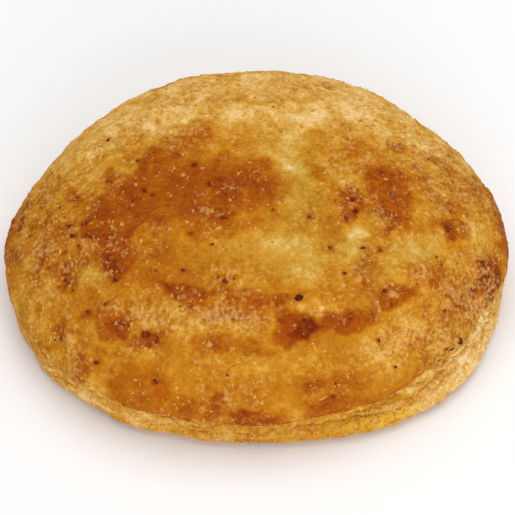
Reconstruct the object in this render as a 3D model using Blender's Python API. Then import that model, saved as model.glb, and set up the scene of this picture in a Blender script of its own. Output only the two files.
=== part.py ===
# Toasted sandwich: a domed oval crown of toasted bread, a thin sheet of melted cheese
# and a flat heel of bread, lying on its base. Metres, +Z up, +X along the long side,
# origin under the middle of the base. -Y is the front, where the seam shows.

import bmesh
import bpy
import numpy as np
from mathutils import Euler

# ---- driving dimensions -------------------------------------------------------------
LENGTH = 0.125
WIDTH = 0.1024
HEIGHT = 0.037  # top of the crown before its relief
GAP = 0.0003  # air between two pieces that touch

HEEL_TOP = 0.0072
CHEESE_TOP = 0.0090
CROWN_BOTTOM = CHEESE_TOP + GAP
CROWN_WIDEST = 0.0122  # height at which the crown is widest

FRONT_FULLER = 0.025  # how much the front corners are fuller than the back ones
CROWN_FLATNESS = 2.6  # power of the dome across, 2 is a plain ellipse
CROWN_SHOULDER = 1.6  # power of the dome upwards
LIP_TUCK = 0.024  # how far the crown's lip tucks in under its widest line
LIP_WANDER = 0.0006  # how far the lip rises and falls along the seam
LIP_BITES = ((7, 0.008),)  # wave in degrees round the lip, depth as a share
LIP_BAND = 0.05  # how far up the crust from the lip the bites fade out
TORN_BITES = ((6.5, 0.016), (3.6, 0.011))  # bites where the sandwich gapes
TORN_BAND = 0.09
HEEL_TUCK = 0.020  # how far the heel sits inside the crown's outline
HEEL_NOSE = 0.045  # width of the heel's round upper edge
HEEL_NOSE_HEIGHT = 0.0040  # height at which the heel is widest
HEEL_BASE = 0.880  # size of the flat base, as a share of the heel's outline

# The sandwich gapes at its front right: the crown draws back and the heel runs out.
GAPE_DIRECTION = np.radians(-45)
GAPE_SPREAD = np.radians(38)
CROWN_DRAWS_BACK = 0.050
# Lobes of the heel's outline: direction and spread in degrees, how far it runs out.
HEEL_RUNS_OUT = ((-53, 27, 0.040), (-115, 35, 0.022))

CHEESE_INSET = 0.050  # how far the cheese stays inside the crown's outline
CHEESE_WANDER = 0.008  # how far its edge wanders in and out
CHEESE_EDGE = 0.016  # width of its round edge
CHEESE_OOZES = ((-53, 16, 0.105), (160, 12, 0.030), (48, 9, 0.035))  # lobes, the same
CHEESE_REST = 0.0004  # air under the cheese where it bends over the heel's edge

# How finely each piece is cut up: rings on top, then along the rim and underneath.
CROWN_RINGS = 30
CROWN_LIP_STEPS = 3
CROWN_UNDER_STEPS = 1
FLAT_SEGMENTS = 96  # round the heel and the cheese

# ---- browned patches of the crown ---------------------------------------------------
# Places on the unrolled crust: (0, 0) is the top, a distance of 1 from it is the lip,
# the first number runs along +X and the second along +Y. Each patch is: place, half
# sizes, turn in degrees, strength. Browned bread stands proud, pale bread lies low.
BROWNED = (
    (-0.20, 0.03, 0.28, 0.14, 0, 0.85),
    (-0.44, -0.07, 0.09, 0.12, 10, 1.05),
    (-0.36, 0.02, 0.08, 0.06, 0, 1.00),
    (-0.14, 0.03, 0.07, 0.05, 0, 0.95),
    (-0.31, 0.15, 0.08, 0.09, 0, 0.85),
    (-0.02, 0.07, 0.07, 0.09, 0, 0.90),
    (-0.22, 0.27, 0.08, 0.07, 0, 0.60),
    (-0.41, -0.24, 0.07, 0.08, 0, 0.60),
    (-0.12, -0.13, 0.14, 0.05, 0, 0.45),
    (0.42, 0.04, 0.08, 0.17, 5, 0.70),
    (0.28, -0.03, 0.05, 0.07, 0, 0.70),
    (0.18, 0.09, 0.04, 0.04, 0, 0.55),
    (0.33, 0.24, 0.07, 0.04, 0, 0.40),
    (0.62, -0.10, 0.06, 0.04, -10, 0.85),
    (0.63, 0.02, 0.04, 0.09, 0, 0.25),
    (0.15, -0.56, 0.065, 0.055, 0, 1.15),
    (0.28, -0.50, 0.07, 0.045, 35, 0.90),
    (0.41, -0.40, 0.09, 0.035, 30, 0.65),
    (-0.23, -0.39, 0.08, 0.035, -25, 0.65),
    (-0.02, -0.44, 0.12, 0.035, 0, 0.55),
    (-0.06, -0.61, 0.16, 0.04, -5, 0.50),
    (-0.43, -0.49, 0.06, 0.04, -10, 0.75),
    (-0.33, -0.54, 0.04, 0.04, 0, 0.75),
    (-0.64, -0.47, 0.05, 0.035, 0, 0.60),
    (-0.60, -0.64, 0.08, 0.05, 10, 0.75),
    (-0.40, -0.76, 0.12, 0.10, -10, 0.60),
    (-0.24, -0.85, 0.16, 0.07, 0, 0.55),
    (0.02, -0.94, 0.13, 0.07, 0, 0.90),
    (0.32, -0.83, 0.16, 0.08, 10, 0.60),
    (0.53, -0.30, 0.07, 0.05, 0, 0.45),
    (0.88, 0.12, 0.08, 0.18, 0, 0.60),
    (0.80, -0.22, 0.06, 0.10, 0, 0.85),
    (-0.91, 0.03, 0.07, 0.14, 0, 0.85),
)
BROWNED_RISE = 0.0008
PATCH_RAGGED = (0.012, 0.045)  # wave of the patches' edges and how far they wander

# Low steps that follow the oval round the front of the crown: distance from the top,
# width, height.
TERRACES = ((0.43, 0.06, 0.0005), (0.60, 0.06, 0.0008), (0.87, 0.05, 0.0006))

# Unevenness of the crust: wavelength and height.
SWELLS = (0.022, 0.0007)
LUMPS = (0.0095, 0.00048)
CRAGS = (0.0058, 0.00042)
RIM_BULGES = ((0.0100, 0.0005), (0.0052, 0.0004))
LATTICE_TURN = np.array(Euler((0.55, 0.70, 0.40)).to_matrix())

# Middle of the finished sandwich's box, which the last step puts over the origin.
BOX_MIDDLE = np.array((-0.00027, 0.00088, 0))


def lattice_value(cell, seed):
    """A repeatable value from 0 to 1 for each whole-numbered cell, by integer mixing."""
    mixed = (
        cell[..., 0] * 374761393 + cell[..., 1] * 668265263
        + cell[..., 2] * 1440670441 + seed * 974634777
    ) & 0xFFFFFFFF
    mixed = ((mixed ^ (mixed >> 13)) * 1274126177) & 0xFFFFFFFF
    return ((mixed ^ (mixed >> 16)) & 0xFFFFFF) / 0xFFFFFF


def noise(points, size, seed):
    """Smooth noise from -1 to 1: lattice values blended over each cell of that size.
    The lattice is turned, so that its rows don't line up with the piece."""
    scaled = points @ LATTICE_TURN / size + 0.37 * seed
    cell = np.floor(scaled).astype(np.int64)
    part = scaled - cell
    blend = part * part * (3 - 2 * part)
    total = np.zeros(points.shape[:-1])
    for corner in np.ndindex(2, 2, 2):
        weight = np.prod(np.where(corner, blend, 1 - blend), axis=-1)
        total += weight * lattice_value(cell + np.array(corner), seed)
    return 2 * total - 1


def away_from(angle, direction):
    """The angle between two directions, from -pi to pi."""
    return (angle - direction + np.pi) % (2 * np.pi) - np.pi


def run_out(angle, lobes):
    """How far a layer runs out: a lobe at each direction, with its spread and reach."""
    total = np.zeros_like(angle)
    for direction, spread, reach in lobes:
        off = away_from(angle, np.radians(direction)) / np.radians(spread)
        total += reach * np.exp(-off * off)
    return total


def gape(angle):
    """1 at the front right, where crown and heel part most, falling to 0 round it."""
    return np.exp(-((away_from(angle, GAPE_DIRECTION) / GAPE_SPREAD) ** 2))


def ragged(angle, wave, seed):
    """Noise from -1 to 1 that runs round the rim, with a wave of so many degrees."""
    ring = np.stack([np.cos(angle), np.sin(angle), 0 * angle], axis=-1)
    return noise(ring, np.radians(wave), seed)


def bitten(angle, waves, seed):
    """How far a torn edge runs out or in: waves of noise round the rim, added up."""
    return sum(deep * ragged(angle, wave, seed) for wave, deep in waves)


def outline(angle, scale):
    """The oval, fuller at its front corners: an ellipse times 1 - c sin(3 angle)."""
    reach = scale * (1 - FRONT_FULLER * np.sin(3 * angle))
    return 0.5 * LENGTH * reach * np.cos(angle), 0.5 * WIDTH * reach * np.sin(angle)


def stretch(share, height, steps):
    """A stretch of a profile cut into even steps: shares of the outline and heights."""
    step = np.hypot(np.diff(share) * 0.25 * (LENGTH + WIDTH), np.diff(height))
    along = np.concatenate([[0], np.cumsum(step)])
    wanted = np.linspace(0, along[-1], steps + 1)
    return np.interp(wanted, along, share), np.interp(wanted, along, height)


def joined(*stretches):
    """Stretches that meet end to end, as one profile with each meeting point once."""
    shares = [stretches[0][0]] + [share[1:] for share, height in stretches[1:]]
    heights = [stretches[0][1]] + [height[1:] for share, height in stretches[1:]]
    return np.concatenate(shares), np.concatenate(heights)


def read_points(mesh):
    """The mesh's points as rows of x, y, z."""
    flat = np.empty(len(mesh.vertices) * 3)
    mesh.vertices.foreach_get("co", flat)
    return flat.reshape(-1, 3)


def solid_from(name, build, placed_by):
    """A solid from a bmesh: placed_by moves all of its points at once, the sandwich's
    middle goes over the origin, and each quad is split along its shorter diagonal."""
    mesh = bpy.data.meshes.new(name)
    bmesh.ops.recalc_face_normals(build, faces=build.faces)
    build.to_mesh(mesh)
    points = placed_by(read_points(mesh)) - BOX_MIDDLE
    mesh.vertices.foreach_set("co", points.ravel())
    build.clear()
    build.from_mesh(mesh)
    bmesh.ops.triangulate(build, faces=build.faces, quad_method="SHORT_EDGE")
    build.to_mesh(mesh)
    build.free()
    mesh.shade_smooth()
    mesh.set_sharp_from_angle(angle=np.radians(50))
    return bpy.data.objects.new(name, mesh)


def patch_height(right, up):
    """How browned the crust is: the strongest of the patches at that place, each a
    hill with a flat middle that is half as high at the patch's outline."""
    browned = np.zeros_like(right)
    for x, y, half_x, half_y, turn, strength in BROWNED:
        c, s = np.cos(np.radians(turn)), np.sin(np.radians(turn))
        off_x = ((right - x) * c + (up - y) * s) / half_x
        off_y = ((up - y) * c - (right - x) * s) / half_y
        hill = np.clip((1.4 - np.hypot(off_x, off_y)) / 0.8, 0, 1)
        browned = np.maximum(browned, strength * hill * hill * (3 - 2 * hill))
    return browned


def crown_relief(points, angle, along):
    """Height of the crust over the plain dome. Browned patches stand proud, terraces
    ring the front, and three sizes of noise make swells, lumps and crags."""
    warp_x = PATCH_RAGGED[1] * noise(points, PATCH_RAGGED[0], 11)
    warp_y = PATCH_RAGGED[1] * noise(points, PATCH_RAGGED[0], 12)
    right = along * np.cos(angle) + warp_x
    up = along * np.sin(angle) + warp_y
    relief = BROWNED_RISE * patch_height(right, up)
    front = np.clip(0.4 - 1.2 * np.sin(angle), 0, 1)
    for distance, width, height in TERRACES:
        off = (along + warp_x - distance) / width
        relief += height * front * np.exp(-off * off)
    relief += SWELLS[1] * noise(points, SWELLS[0], 21)
    relief += LUMPS[1] * noise(points, LUMPS[0], 22)
    relief += CRAGS[1] * (0.5 - 2 * np.abs(noise(points, CRAGS[0], 23)))
    return relief


def make_crown():
    """The upper bread: a grid bent into a flattened dome, its border drawn down round
    the rim to a lip over the seam and closed by a flat underside."""
    quarter = np.linspace(0, np.pi / 2, 200)
    dome = stretch(
        np.sin(quarter) ** (2 / CROWN_FLATNESS),
        CROWN_WIDEST + (HEIGHT - CROWN_WIDEST) * np.cos(quarter) ** (2 / CROWN_SHOULDER),
        CROWN_RINGS,
    )
    lip = stretch(
        1 - LIP_TUCK * (1 - np.cos(quarter)),
        CROWN_WIDEST - (CROWN_WIDEST - CROWN_BOTTOM) * np.sin(quarter),
        CROWN_LIP_STEPS,
    )
    under = (
        np.array([1 - LIP_TUCK, 0.90, 0.0]),
        np.array([CROWN_BOTTOM, CROWN_BOTTOM, CROWN_BOTTOM]),
    )
    share, height = joined(dome, lip, under)
    last = CROWN_RINGS + CROWN_LIP_STEPS

    build = bmesh.new()
    bmesh.ops.create_grid(
        build, x_segments=2 * CROWN_RINGS, y_segments=2 * CROWN_RINGS, size=1
    )
    for _ in range(CROWN_LIP_STEPS + CROWN_UNDER_STEPS):
        border = [edge for edge in build.edges if edge.is_boundary]
        drawn = bmesh.ops.extrude_edge_only(build, edges=border)["geom"]
        corners = [part for part in drawn if isinstance(part, bmesh.types.BMVert)]
        bmesh.ops.translate(build, verts=corners, vec=(0, 0, -1))
    border = [edge for edge in build.edges if edge.is_boundary]
    floor = bmesh.ops.contextual_create(build, geom=border)["faces"]
    centre = bmesh.ops.poke(build, faces=floor)["verts"]
    bmesh.ops.translate(build, verts=centre, vec=(0, 0, -1))

    def placed(flat):
        # squares round the middle of the grid become rings, then rings down the rim
        across, depth = flat[:, :2], -flat[:, 2]
        square = np.max(np.abs(across), axis=1)
        eighth = np.min(np.abs(across), axis=1) / np.maximum(square, 1e-9)
        turn = 0.25 * np.pi * eighth
        steep = np.abs(across[:, 1]) > np.abs(across[:, 0])
        turn = np.where(steep, 0.5 * np.pi - turn, turn)
        angle = np.arctan2(
            np.sin(turn) * np.where(across[:, 1] < 0, -1, 1),
            np.cos(turn) * np.where(across[:, 0] < 0, -1, 1),
        )
        ring = np.rint(square * CROWN_RINGS + depth).astype(int)
        ring = np.where(square < 1e-6, np.where(depth > 0, len(share) - 1, 0), ring)
        along = ring / last

        x, y = outline(angle, share[ring] * (1 - CROWN_DRAWS_BACK * gape(angle)))
        base = np.stack([x, y, height[ring]], axis=-1)
        rise = (height[ring] - CROWN_WIDEST) / (2 * HEIGHT) ** 2
        outward = np.stack([x / LENGTH**2, y / WIDTH**2, rise], axis=-1)
        outward /= np.maximum(np.linalg.norm(outward, axis=-1, keepdims=True), 1e-9)
        fade = np.clip((last - ring) / CROWN_LIP_STEPS, 0, 1) * (1 - 0.4 * along**8)
        bent = base + outward * (fade * crown_relief(base, angle, along))[:, None]
        on_lip = np.exp(-(((along - 1) / LIP_BAND) ** 2)) * (ring <= last)
        bent[:, 2] += LIP_WANDER * on_lip * (1 + ragged(angle, 14, 31))
        bites = on_lip * bitten(angle, LIP_BITES, 32)
        torn_rim = np.exp(-(((along - 1) / TORN_BAND) ** 2)) * (ring <= last)
        bites += torn_rim * gape(angle) * bitten(angle, TORN_BITES, 36)
        bent[:, :2] *= (1 + bites)[:, None]
        return bent

    return solid_from("bread_crown", build, placed)


def turned_solid(name, profile, shape):
    """A ball primitive whose rings follow the profile, from the middle of the top round
    the rim to the middle of the base. shape(angle, ring, share, height) places them."""
    share, height = profile
    build = bmesh.new()
    bmesh.ops.create_uvsphere(
        build, u_segments=FLAT_SEGMENTS, v_segments=len(share) - 1, radius=1
    )

    def placed(ball):
        angle = np.arctan2(ball[:, 1], ball[:, 0])
        tilt = np.arccos(np.clip(ball[:, 2], -1, 1))
        ring = np.rint(tilt / np.pi * (len(share) - 1)).astype(int)
        return shape(angle, ring, share[ring], height[ring])

    return solid_from(name, build, placed)


def heel_reach(angle):
    """The heel's outline, which runs out at the front."""
    return 1 - HEEL_TUCK + run_out(angle, HEEL_RUNS_OUT)


def rim_bulge(points):
    """How far the heel's rim bulges at a place, in metres."""
    return sum(high * noise(points, wide, 51) for wide, high in RIM_BULGES)


def cheese_reach(angle):
    """The cheese's outline: inside the crown's lip, running out where it oozes."""
    reach = 1 - CHEESE_INSET - CROWN_DRAWS_BACK * gape(angle)
    reach += CHEESE_WANDER * ragged(angle, 12, 41)
    return reach + run_out(angle, CHEESE_OOZES)


def make_cheese():
    """The melted cheese: a thin sheet with a round edge that oozes out at the seam."""
    bottom = HEEL_TOP + GAP
    middle = 0.5 * (CHEESE_TOP + bottom)
    half = 0.5 * (CHEESE_TOP - bottom)
    turn = np.linspace(0, np.pi, 60)
    flat = 1 - CHEESE_EDGE
    top = (np.array([0.0, 0.80, 0.90, 0.95, flat]), np.full(5, CHEESE_TOP))
    edge = stretch(flat + CHEESE_EDGE * np.sin(turn), middle + half * np.cos(turn), 4)
    under = (np.array([flat, 0.93, 0.80, 0.0]), np.full(4, bottom))

    def shape(angle, ring, share, height):
        reach = share * cheese_reach(angle)
        x, y = outline(angle, reach)
        # past the heel's flat top the sheet bends down with the heel's round edge
        bulge = rim_bulge(np.stack([x, y, height], axis=-1)) / np.hypot(*outline(angle, 1))
        past = (reach - bulge) / heel_reach(angle) - (1 - HEEL_NOSE)
        steep = np.clip(past / HEEL_NOSE, 0, 0.9)
        drop = (HEEL_TOP - HEEL_NOSE_HEIGHT) * (1 - np.sqrt(1 - steep * steep))
        lift = (CHEESE_REST - GAP) * np.clip(5 * steep - 0.5, 0, 1)
        return np.stack([x, y, height - drop + lift], axis=-1)

    return turned_solid("melted_cheese", joined(top, edge, under), shape)


def make_heel():
    """The lower bread: a thick flat slice with a soft lumpy rim and a flat base."""
    over = np.linspace(0, np.pi / 2, 80)
    inner = (np.array([0.0, 0.75, 1 - HEEL_NOSE]), np.full(3, HEEL_TOP))
    upper = stretch(
        1 - HEEL_NOSE * (1 - np.sin(over)),
        HEEL_NOSE_HEIGHT + (HEEL_TOP - HEEL_NOSE_HEIGHT) * np.cos(over),
        3,
    )
    lower = stretch(
        1 - (1 - HEEL_BASE) * (1 - np.cos(over)) ** 1.3,
        HEEL_NOSE_HEIGHT * (1 - np.sin(over)),
        4,
    )
    base = (np.array([HEEL_BASE, 0.0]), np.zeros(2))
    first_on_rim, last_on_rim = 3, 8

    def shape(angle, ring, share, height):
        x, y = outline(angle, share * heel_reach(angle))
        placed = np.stack([x, y, height], axis=-1)
        bulge = rim_bulge(placed) * (ring >= first_on_rim) * (ring <= last_on_rim)
        reach = np.maximum(np.hypot(x, y), 1e-9)
        placed[:, 0] += bulge * x / reach
        placed[:, 1] += bulge * y / reach
        return placed

    return turned_solid("bread_heel", joined(inner, upper, lower, base), shape)


def finish(solid, colour, roughness):
    """Gives a piece its own plain material."""
    material = bpy.data.materials.new(solid.name)
    material.use_nodes = True
    shader = material.node_tree.nodes["Principled BSDF"]
    shader.inputs["Base Color"].default_value = (*colour, 1)
    shader.inputs["Roughness"].default_value = roughness
    shader.inputs["Metallic"].default_value = 0
    solid.data.materials.append(material)


def main():
    for old in list(bpy.data.objects):
        bpy.data.objects.remove(old)
    sandwich = bpy.data.collections.new("toasted_sandwich")
    bpy.context.scene.collection.children.link(sandwich)
    finishes = (
        (make_heel(), (0.62, 0.36, 0.11), 0.75),
        (make_cheese(), (0.66, 0.36, 0.06), 0.40),
        (make_crown(), (0.50, 0.22, 0.04), 0.70),
    )
    for solid, colour, roughness in finishes:
        finish(solid, colour, roughness)
        sandwich.objects.link(solid)


main()
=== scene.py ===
import math

import bpy
import numpy as np
from mathutils import Euler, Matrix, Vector


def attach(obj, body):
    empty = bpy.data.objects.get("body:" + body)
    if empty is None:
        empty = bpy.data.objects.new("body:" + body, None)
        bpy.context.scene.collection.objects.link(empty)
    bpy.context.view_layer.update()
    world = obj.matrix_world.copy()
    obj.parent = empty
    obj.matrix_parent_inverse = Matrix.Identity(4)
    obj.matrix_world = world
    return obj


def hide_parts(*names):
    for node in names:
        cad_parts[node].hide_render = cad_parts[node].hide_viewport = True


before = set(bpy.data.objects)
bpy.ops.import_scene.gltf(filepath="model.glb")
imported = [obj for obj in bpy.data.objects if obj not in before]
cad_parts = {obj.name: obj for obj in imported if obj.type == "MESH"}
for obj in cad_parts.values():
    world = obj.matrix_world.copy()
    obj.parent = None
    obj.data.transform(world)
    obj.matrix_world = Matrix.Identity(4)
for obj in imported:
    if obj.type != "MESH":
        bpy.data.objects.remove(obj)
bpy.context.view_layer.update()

print("frame loaded")

# the oval body that all three layers share, in metres
sandwich = {
    "length": 0.125,
    "width": 0.1024,
    "height": 0.037,
    "gap": 0.0003,  # air between the heel and the cheese
    "frontFuller": 0.025,  # front corners are fuller than the back ones
    "gapeDirection": math.radians(-45),  # where crown and heel part most
    "gapeSpread": math.radians(38),
    "middle": (-0.00027, 0.00088, 0),  # taken off every point, so the box stands over the origin
}
# turns the noise's cells away from the sandwich's own directions
latticeTurn = np.array(Euler((0.55, 0.70, 0.40)).to_matrix())


# a repeatable value from 0 to 1 for each whole-numbered cell: large odd numbers times its
# places are added up, and the bits are mixed twice
def latticeValue(cell, seed):
    mixed = (
        cell[..., 0] * 374761393 + cell[..., 1] * 668265263
        + cell[..., 2] * 1440670441 + seed * 974634777
    ) & 0xFFFFFFFF
    mixed = ((mixed ^ (mixed >> 13)) * 1274126177) & 0xFFFFFFFF
    return ((mixed ^ (mixed >> 16)) & 0xFFFFFF) / 0xFFFFFF


# smooth noise from -1 to 1: lattice values blended over each cell of that size, lattice turned
def noise(points, size, seed):
    scaled = points @ latticeTurn / size + 0.37 * seed
    cell = np.floor(scaled).astype(np.int64)
    part = scaled - cell
    blend = part * part * (3 - 2 * part)
    total = np.zeros(points.shape[:-1])
    for corner in np.ndindex(2, 2, 2):
        weight = np.prod(np.where(corner, blend, 1 - blend), axis=-1)
        total += weight * latticeValue(cell + np.array(corner), seed)
    return 2 * total - 1


# noise of several sizes added up, each with its share and a seed of its own
def mixedNoise(points, sizes, seed):
    return sum(share * noise(points, size, seed + k) for k, (size, share) in enumerate(sizes))


# bumps of several sizes added up: noise times a height for each, all from one seed
def bumps(points, sizes, seed):
    return sum(high * noise(points, size, seed) for size, high in sizes)


# thin winding lines where noise crosses 0: 1 on a line, falling evenly to 0 at that thinness
def windingLines(points, size, thin, seed):
    return np.clip(1 - np.abs(noise(points, size, seed)) / thin, 0, 1)


# grains: one point at random in each cell of that size; gives the distance to the nearest
# point, how much farther the second nearest is, and the nearest one's own value, 0 to 1
def grains(points, size, seed):
    scaled = points @ latticeTurn / size + 0.53 * seed
    cell = np.floor(scaled).astype(np.int64)
    nearest = np.full(len(points), 9.0)
    second = np.full(len(points), 9.0)
    own = np.zeros(len(points))
    for shift in np.ndindex(3, 3, 3):
        there = cell + np.array(shift) - 1
        place = there + np.stack([latticeValue(there, seed + k) for k in (1, 2, 3)], axis=-1)
        far = np.linalg.norm(place - scaled, axis=-1)
        closer = far < nearest
        second = np.where(closer, nearest, np.minimum(second, far))
        own = np.where(closer, latticeValue(there, seed + 4), own)
        nearest = np.where(closer, far, nearest)
    return nearest, second - nearest, own


# creases between grains of that size: exp of minus the square of how much farther the second
# point is, in softnesses; gives each grain's own value too
def creases(points, size, soft, seed):
    _, between, own = grains(points, size, seed)
    return np.exp(-((between / soft) ** 2)), own


# rises from 0 at low to 1 at high with soft ends: three squares less two cubes of the share
def smooth(value, low, high):
    share = np.clip((value - low) / (high - low), 0, 1)
    return share * share * (3 - 2 * share)


# a look from 0 to 1: its middle, changed by noise times a strength
def uneven(look, values):
    middle, strength = look
    return np.clip(middle + strength * values, 0, 1)


# how far an angle is from a direction, from minus pi to pi
def awayFrom(angle, direction):
    return (angle - direction + np.pi) % (2 * np.pi) - np.pi


# lobes round the rim added up: direction, spread and reach of each, the reach times exp of
# minus the squared angle from its direction, in spreads
def runOut(angle, lobes):
    total = np.zeros_like(angle)
    for direction, spread, reach in lobes:
        off = awayFrom(angle, math.radians(direction)) / math.radians(spread)
        total += reach * np.exp(-off * off)
    return total


# 1 at the front right, where crown and heel part most, falling to 0 round it as one such lobe
def gape(angle):
    off = awayFrom(angle, sandwich["gapeDirection"]) / sandwich["gapeSpread"]
    return np.exp(-off * off)


# noise from -1 to 1 that runs round the rim, with a wave of so many degrees
def ragged(angle, wave, seed):
    ring = np.stack([np.cos(angle), np.sin(angle), 0 * angle], axis=-1)
    return noise(ring, math.radians(wave), seed)


# how far a torn edge runs out or in: waves of noise round the rim, added up
def bitten(angle, waves, seed):
    return sum(deep * ragged(angle, wave, seed) for wave, deep in waves)


# the oval: an ellipse times 1 - c sin(3 angle), which fills out its front corners
def outline(angle, scale):
    reach = scale * (1 - sandwich["frontFuller"] * np.sin(3 * angle))
    x = 0.5 * sandwich["length"] * reach * np.cos(angle)
    y = 0.5 * sandwich["width"] * reach * np.sin(angle)
    return x, y


# a stretch of a profile cut into even steps along its length
def stretch(share, height, steps):
    radius = 0.25 * (sandwich["length"] + sandwich["width"])
    step = np.hypot(np.diff(share) * radius, np.diff(height))
    along = np.concatenate([[0], np.cumsum(step)])
    wanted = np.linspace(0, along[-1], steps + 1)
    return np.interp(wanted, along, share), np.interp(wanted, along, height)


# stretches that meet end to end, with each meeting point once
def joined(*stretches):
    shares = [stretches[0][0]] + [share[1:] for share, height in stretches[1:]]
    heights = [stretches[0][1]] + [height[1:] for share, height in stretches[1:]]
    return np.concatenate(shares), np.concatenate(heights)


# rings of quads between rows of points that follow each other round a piece
def band(rows):
    upper, lower = rows[:-1], rows[1:]
    upperNext, lowerNext = np.roll(upper, -1, axis=1), np.roll(lower, -1, axis=1)
    first = np.stack([lower, lowerNext, upperNext], axis=-1).reshape(-1, 3)
    other = np.stack([lower, upperNext, upper], axis=-1).reshape(-1, 3)
    return np.concatenate([first, other])


# a square grid whose squares become rings, the angle running evenly along each side, with
# more rings hung from its border and a fan that closes the base
def cushionGrid(topRings, moreRings):
    steps = np.arange(-topRings, topRings + 1)
    y, x = np.meshgrid(steps, steps, indexing="ij")
    side = len(steps)
    ring = np.maximum(np.abs(x), np.abs(y)).ravel()
    eighth = np.minimum(np.abs(x), np.abs(y)).ravel() / np.maximum(ring, 1)
    turn = 0.25 * np.pi * eighth
    turn = np.where(np.abs(y.ravel()) > np.abs(x.ravel()), 0.5 * np.pi - turn, turn)
    angle = np.arctan2(
        np.sin(turn) * np.where(y.ravel() < 0, -1, 1),
        np.cos(turn) * np.where(x.ravel() < 0, -1, 1),
    )
    index = np.arange(side * side).reshape(side, side)
    a, b = index[:-1, :-1].ravel(), index[:-1, 1:].ravel()
    c, d = index[1:, 1:].ravel(), index[1:, :-1].ravel()
    # each cell is split by the diagonal that points at the middle
    inward = ((x[:-1, :-1] + 0.5) * (y[:-1, :-1] + 0.5) > 0).ravel()[:, None]
    first = np.where(inward, np.stack([a, b, c], -1), np.stack([a, b, d], -1))
    other = np.where(inward, np.stack([a, c, d], -1), np.stack([b, c, d], -1))
    border = np.flatnonzero(ring == topRings)
    border = border[np.argsort(angle[border])]
    hung = side * side + np.arange(moreRings * len(border)).reshape(moreRings, -1)
    rows = np.concatenate([border[None], hung])
    centre = side * side + hung.size
    last = rows[-1]
    fan = np.stack([np.full(len(last), centre), np.roll(last, -1), last], axis=-1)
    triangles = np.concatenate([first, other, band(rows), fan])
    hungRing = np.repeat(topRings + 1 + np.arange(moreRings), len(border))
    angle = np.concatenate([angle, np.tile(angle[border], moreRings), [0]])
    ring = np.concatenate([ring, hungRing, [topRings + moreRings + 1]])
    return angle, ring, triangles


# rings of points under each other from a point on top to a point below
def turnedGrid(rings, segments):
    angle = np.linspace(0, 2 * np.pi, segments, endpoint=False)
    rows = 1 + np.arange((rings - 1) * segments).reshape(rings - 1, segments)
    end = 1 + rows.size
    top = np.stack([np.zeros(segments, int), rows[0], np.roll(rows[0], -1)], axis=-1)
    base = np.stack([np.full(segments, end), np.roll(rows[-1], -1), rows[-1]], axis=-1)
    triangles = np.concatenate([top, band(rows), base])
    ring = np.concatenate([[0], np.repeat(np.arange(1, rings), segments), [rings]])
    angle = np.concatenate([[0], np.tile(angle, rings - 1), [0]])
    return angle, ring, triangles


# outward direction at each point: the sum of the normals of the triangles round it
def pointNormals(points, triangles):
    a, b, c = (points[triangles[:, k]] for k in range(3))
    flat = np.cross(b - a, c - a)
    normals = np.stack(
        [
            sum(np.bincount(triangles[:, k], flat[:, axis], len(points)) for k in range(3))
            for axis in range(3)
        ],
        axis=-1,
    )
    return normals / np.maximum(np.linalg.norm(normals, axis=1, keepdims=True), 1e-12)


# a mesh from whole arrays, with a value at each point for every attribute, and the
# solids that it stands in for, which it hides; the slot that it is given is not used
def makePiece(name, points, triangles, attributes, material, slot, *nodes):
    mesh = bpy.data.meshes.new(name)
    mesh.vertices.add(len(points))
    mesh.loops.add(triangles.size)
    mesh.polygons.add(len(triangles))
    mesh.vertices.foreach_set("co", (points - np.array(sandwich["middle"])).ravel())
    mesh.loops.foreach_set("vertex_index", triangles.ravel())
    mesh.polygons.foreach_set("loop_start", np.arange(0, triangles.size, 3))
    mesh.polygons.foreach_set("loop_total", np.full(len(triangles), 3))
    mesh.update(calc_edges=True)
    mesh.validate()
    mesh.shade_smooth()
    for key, values in attributes.items():
        layer = mesh.attributes.new(key, "FLOAT", "POINT")
        layer.data.foreach_set("value", values.astype(np.float32))
    mesh.materials.append(material)
    piece = bpy.data.objects.new(name, mesh)
    bpy.context.scene.collection.objects.link(piece)
    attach(piece, "root")
    if nodes:
        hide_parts(*nodes)
    print(name, "made,", len(triangles), "triangles")


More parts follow.
